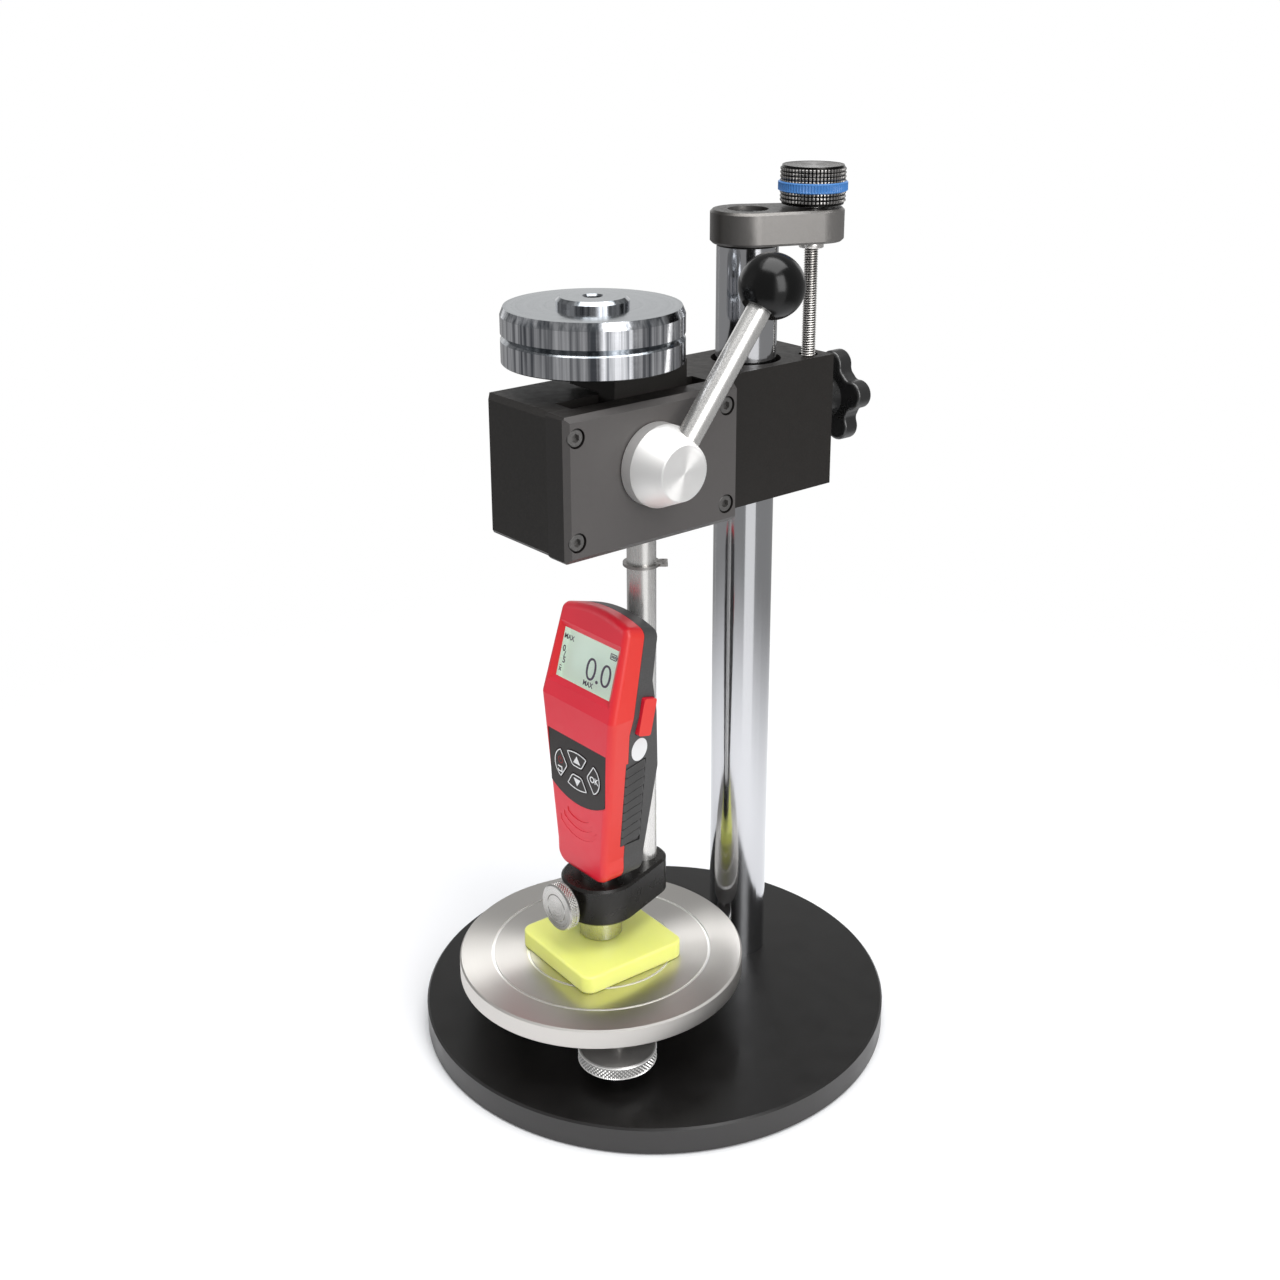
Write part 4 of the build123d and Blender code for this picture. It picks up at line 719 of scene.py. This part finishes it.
# The grips: soft black rubber pads in the pockets on both sides of the handle, each with a row of
# nine slanted slats like shingles.
def oval(x, y, half_w, half_h, power=2.0, count=40):
    """A closed oval, squarer with a higher power."""
    points = []
    for i in range(count):
        c, s = math.cos(2 * math.pi * i / count), math.sin(2 * math.pi * i / count)
        points.append((x + half_w * math.copysign(abs(c) ** (2 / power), c),
                       y + half_h * math.copysign(abs(s) ** (2 / power), s)))
    return points


handle_low, handle_high = 0.092, 0.157
handle_half_low, handle_half_high = 0.0163, 0.0236
side_slope = (handle_half_high - handle_half_low) / (handle_high - handle_low)


def side_at(z):
    """Half the handle's width at a height."""
    return handle_half_low + (z - handle_low) * side_slope


def skinned(shape, layers):
    """Closes a row of outlines with equally many points to a solid."""
    rings = [[shape.verts.new(point) for point in layer] for layer in layers]
    shape.faces.new(rings[0])
    for near, far in zip(rings, rings[1:]):
        for i in range(len(near)):
            shape.faces.new((near[i], near[i - 1], far[i - 1], far[i]))
    shape.faces.new(rings[-1])


grip_black = finish("grip_black", (0.05, 0.049, 0.048), 0, 0.36)
wander(grip_black, "Roughness", speckle(grip_black, 0.001), 0.32, 0.42)
grip_low, grip_high, grip_front, grip_rear = 0.098, 0.137, -0.0326, -0.0224
grip_y, grip_z = (grip_front + grip_rear) / 2, (grip_low + grip_high) / 2
grip_wide, grip_tall = grip_rear - grip_front, grip_high - grip_low
slat_count, slat_slope, slat_root = 9, math.tan(math.radians(14)), 0.0008
slat_pitch = (grip_tall - grip_wide * slat_slope) / slat_count
slat_section = [(-slat_root, 0), (0.00035, 0.00002), (0.00062, 0.0002), (0.0007, 0.0005), (0.00058, 0.0009),
                (0.0001, 0.86 * slat_pitch), (-0.0001, 0.89 * slat_pitch), (-slat_root, 0.89 * slat_pitch)]
slat_ends = ((0, 0.5), (0.02, 0.75), (0.06, 0.93), (0.1, 1), (0.5, 1), (0.9, 1), (0.94, 0.93),
             (0.98, 0.75), (1, 0.5))
slats = bmesh.new()
for side in (1, -1):
    pad = []
    for inset, out in ((0, -0.0016), (0, -0.0006), (0.0001, -0.0005)):
        outline = oval(grip_y, grip_z, grip_wide / 2 - inset, grip_tall / 2 - inset, power=12, count=64)
        pad.append([(side * (side_at(z) + out), y, z) for y, z in outline])
    skinned(slats, pad)
    for number in range(slat_count):
        start = grip_low + slat_slope * grip_wide / 2 + number * slat_pitch
        slat = []
        for along, proud in slat_ends:
            y = grip_front + along * grip_wide
            layer = []
            for out, up in slat_section:
                z = start + up + (y - grip_y) * slat_slope
                layer.append((side * (side_at(z) - slat_root + (out + slat_root) * proud), y, z))
            slat.append(layer)
        skinned(slats, slat)
piece = closed_mesh(slats, "grip_slats", grip_black, "plunger")
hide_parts("grips")


# The display: a reflective liquid crystal panel, pale green grey, behind a clear acrylic pane in a
# slanted frame. The digits and the battery sign are dark violet segments.
head_lean, head_bend_y = math.radians(15.2), -0.0416


def face_place(up, depth):
    """A place on the leaning face: X to the right, Y up along the face, Z out of it."""
    origin = Vector((0, head_bend_y + up * math.sin(head_lean), handle_high + up * math.cos(head_lean)))
    out = Vector((0, -math.cos(head_lean), math.sin(head_lean)))
    rise = Vector((0, math.sin(head_lean), math.cos(head_lean)))
    turn = Matrix((Vector((1, 0, 0)), rise, out)).transposed().to_4x4()
    return Matrix.Translation(origin - depth * out) @ turn


def flat_shape(outlines, thick):
    """Thin raised shapes from closed outlines: a list of (outer, inner or None) point lists."""
    shape = bmesh.new()
    for outer, inner in outlines:
        levels = []
        for z in (0, thick):
            levels.append([[shape.verts.new((x, y, z)) for x, y in line] for line in (outer, inner) if line])
        for level in levels:
            if inner:
                for i in range(len(outer)):
                    j = (i + 1) % len(outer)
                    shape.faces.new((level[0][i], level[0][j], level[1][j], level[1][i]))
            else:
                shape.faces.new(level[0])
        for low, high in zip(levels[0], levels[1]):
            for i in range(len(low)):
                j = (i + 1) % len(low)
                shape.faces.new((low[i], low[j], high[j], high[i]))
    return shape


def bar(x0, x1, y0, y1):
    return [(x0, y0), (x1, y0), (x1, y1), (x0, y1)]


window_clear = finish("window_clear", (0.9, 0.95, 0.92), 0, 0.04, Alpha=0.05, IOR=1.49)
wander(window_clear, "Roughness", speckle(window_clear, 0.01), 0.03, 0.06)
dress(window_clear, "display_window")
# Painted light: the panel gets a faint glow of its own, though it is no lamp.
display_grey = finish("display_grey", (0.68, 0.8, 0.7), 0, 0.4, Emission_Color=(0.72, 0.9, 0.76, 1),
                      Emission_Strength=0.32)
two_tone(display_grey, speckle(display_grey, 0.02), (0.66, 0.78, 0.68), (0.7, 0.82, 0.72))
dress(display_grey, "display")

segment_violet = finish("segment_violet", (0.045, 0.02, 0.06), 0, 0.4)
wander(segment_violet, "Roughness", speckle(segment_violet, 0.002), 0.35, 0.45)
display_up, display_deep, segment_thick = 0.0187, 0.00282, 0.00006
display_place = face_place(display_up, display_deep)
digit_y, digit_half, digit_hole = -0.0020, (0.0031, 0.0046), (0.0019, 0.0037)
point = oval(0.0066, -0.0060, 0.0008, 0.0007, count=16)
battery_wall = (bar(0.0116, 0.0156, 0.0054, 0.0079), bar(0.0120, 0.0152, 0.0058, 0.0075))
battery_cap, charge_step = bar(0.0156, 0.0160, 0.0060, 0.0073), 0.00095
mean_bar = bar(-0.0177, -0.0163, -0.0063, -0.0060)
segments = []
for x in (0.0019, 0.0113):
    segments.append((oval(x, digit_y, *digit_half, power=2.2), oval(x, digit_y, *digit_hole, power=2.2)))
segments += [(point, None), battery_wall, (battery_cap, None)]
for number in range(3):
    along = charge_step * number
    segments.append((bar(0.0123 + along, 0.0130 + along, 0.0061, 0.0072), None))
segments.append((mean_bar, None))
reading = flat_shape(segments, segment_thick)
bmesh.ops.transform(reading, verts=reading.verts, matrix=display_place)
closed_mesh(reading, "display_reading", segment_violet, "plunger")


def letters(name, body_text, size, place, mat, body, thick):
    """Generic marks set in type, as a thin raised mesh with slightly bolder strokes."""
    bolder = 0.022
    text = bpy.data.curves.new(name, "FONT")
    text.body = body_text
    text.size = size
    text.align_x, text.align_y = "CENTER", "CENTER"
    text.extrude = thick / 2
    text.offset = size * bolder
    writing = bpy.data.objects.new(name, text)
    bpy.context.scene.collection.objects.link(writing)
    bpy.context.view_layer.update()
    type_mesh = bpy.data.meshes.new_from_object(writing)
    bpy.data.objects.remove(writing)
    marks = bmesh.new()
    marks.from_mesh(type_mesh)
    bmesh.ops.transform(marks, verts=marks.verts, matrix=place @ Matrix.Translation((0, 0, thick / 2)))
    closed_mesh(marks, name, mat, body)


display_marks = (("MAX", 0.0029, -0.0150, 0.0062), ("0", 0.0036, -0.0168, 0.0010),
                 ("/", 0.0036, -0.0159, -0.0012), ("5", 0.0036, -0.0156, -0.0036),
                 ("x", 0.0030, -0.0170, -0.0074), ("MAX", 0.0029, 0.0016, -0.0084))
for number, (marking, size, x, y) in enumerate(display_marks):
    letters(f"display_mark_{number}", marking, size, display_place @ Matrix.Translation((x, y, 0)),
            segment_violet, "plunger", segment_thick)


# The keypad: a black printed foil over four keys in a ring. Their outlines and signs are printed on
# it in white, and the power sign in red.
keypad_foil = finish("keypad_foil", (0.017, 0.0125, 0.0115), 0, 0.33, Specular_IOR_Level=0.35)
wander(keypad_foil, "Roughness", speckle(keypad_foil, 0.001), 0.29, 0.38)
dress(keypad_foil, "keypad", "key_up", "key_down", "key_back", "key_ok")
print_white = finish("print_white", (0.9, 0.9, 0.9), 0, 0.5)
wander(print_white, "Roughness", speckle(print_white, 0.001), 0.45, 0.55)
print_red = finish("print_red", (0.25, 0.01, 0.012), 0, 0.5)
wander(print_red, "Roughness", speckle(print_red, 0.001), 0.45, 0.55)


def rounded_outline(points, radius, steps=5):
    """Rounds each corner of a closed outline, by less than half of a side."""
    share = 2.2
    line = []
    for i, point in enumerate(points):
        here, before, after = Vector(point), Vector(points[i - 1]), Vector(points[(i + 1) % len(points)])
        back, on = before - here, after - here
        cut = min(radius, back.length / share, on.length / share)
        start, end = here + back.normalized() * cut, here + on.normalized() * cut
        for s in range(steps + 1):
            t = s / steps
            line.append(tuple((1 - t) ** 2 * start + 2 * t * (1 - t) * here + t ** 2 * end))
    return line


def inset_line(line, width):
    """A closed outline moved inwards, with each corner kept."""
    count = len(line)
    moved = []
    for i in range(count):
        before, after = Vector(line[i - 1]), Vector(line[(i + 1) % count])
        run = (after - before).normalized()
        moved.append((line[i][0] - run.y * width, line[i][1] + run.x * width))
    return moved


def arc(x, y, radius, start, end, steps):
    """Points on a circle between two angles in degrees, with both ends."""
    angles = [math.radians(start + (end - start) * i / steps) for i in range(steps + 1)]
    return [(x + radius * math.cos(a), y + radius * math.sin(a)) for a in angles]


def turned_round(points):
    """The same outline on the other side of the ring of keys."""
    return [(-x, -y) for x, y in points]


ink_thick = 0.00003
ring_middle = Matrix.Translation((0, -0.04115, 0.1285)) @ Matrix.Rotation(math.radians(90), 4, "X")


def printed(name, shapes, mat, body):
    """Print on a key's face."""
    ink = flat_shape(shapes, ink_thick)
    bmesh.ops.transform(ink, verts=ink.verts, matrix=ring_middle)
    closed_mesh(ink, name, mat, body)


corner_r, line_outside, line_inside = 0.0015, 0.00025, 0.0007
fan = [(-0.0032, 0.0016), (0.0032, 0.0016)] + arc(0, -0.01184, 0.02044, 70.3, 109.7, steps=8)
wing = [(0.0060, 0.0)] + arc(0.00805, 0, 0.00715, -67.4, 67.4, steps=12)
key_outlines = {"key_up": fan, "key_down": turned_round(fan), "key_ok": wing, "key_back": turned_round(wing)}
for key, outline in key_outlines.items():
    edge = rounded_outline(outline, corner_r)
    line = (inset_line(edge, line_outside), inset_line(edge, line_inside))
    printed(f"{key}_outline", [line], print_white, key)
arrow = [(-0.0023, 0.0034), (0.0023, 0.0034), (0, 0.0067)]
printed("key_up_sign", [(arrow, None)], print_white, "key_up")
printed("key_down_sign", [(turned_round(arrow), None)], print_white, "key_down")
back_sign = [(-0.0136, -0.0040), (-0.0124, -0.0030), (-0.0124, -0.0037), (-0.0104, -0.0037),
             (-0.0104, -0.0022), (-0.0128, -0.0022), (-0.0128, -0.0016), (-0.0098, -0.0016),
             (-0.0098, -0.0043), (-0.0124, -0.0043), (-0.0124, -0.0050)]
printed("key_back_sign", [(back_sign, None)], print_white, "key_back")
power_sign = [(oval(-0.0110, 0.0012, 0.0016, 0.0016), oval(-0.0110, 0.0012, 0.0012, 0.0012)),
              (bar(-0.0112, -0.0108, 0.0012, 0.0034), None)]
printed("key_power_sign", power_sign, print_red, "key_back")
letters("key_ok_sign", "OK", 0.0037, ring_middle @ Matrix.Translation((0.0112, 0, 0)), print_white, "key_ok",
        ink_thick)


# The blank label on the gauge's side: a white paper oval, stuck on across the seam of the shells.
# It leans with the handle's side.
label_paper = finish("label_paper", (0.8, 0.8, 0.8), 0, 0.55)
wander(label_paper, "Roughness", speckle(label_paper, 0.001), 0.5, 0.6)
label_middle, label_half, label_thick = (0.02195, -0.0263, 0.1420), (0.0040, 0.0052), 0.0001
label = flat_shape([(oval(0, 0, *label_half, count=48), None)], label_thick)
faces_right = Matrix(((0, 0, 1, 0), (1, 0, 0, 0), (0, 1, 0, 0), (0, 0, 0, 1)))
label_place = (Matrix.Translation(label_middle) @ Matrix.Rotation(math.atan(side_slope), 4, "Y") @
               faces_right)
bmesh.ops.transform(label, verts=label.verts, matrix=label_place)
closed_mesh(label, "side_label", label_paper, "plunger")


# Inside the gauge: a glass fibre board, two wrapped cells and their tray, which show only when the
# shells are off.
board_green = finish("board_green", (0.02, 0.16, 0.05), 0, 0.4)
wander(board_green, "Roughness", speckle(board_green, 0.0005), 0.35, 0.5)
dress(board_green, "circuit_board")
cell_wrap = finish("cell_wrap", (0.05, 0.05, 0.06), 0.3, 0.3)
wander(cell_wrap, "Roughness", speckle(cell_wrap, 0.002), 0.25, 0.35)
dress(cell_wrap, "batteries")
tray_black = finish("tray_black", (0.03, 0.03, 0.03), 0, 0.5)
wander(tray_black, "Roughness", speckle(tray_black, 0.001), 0.45, 0.55)
dress(tray_black, "battery_tray")
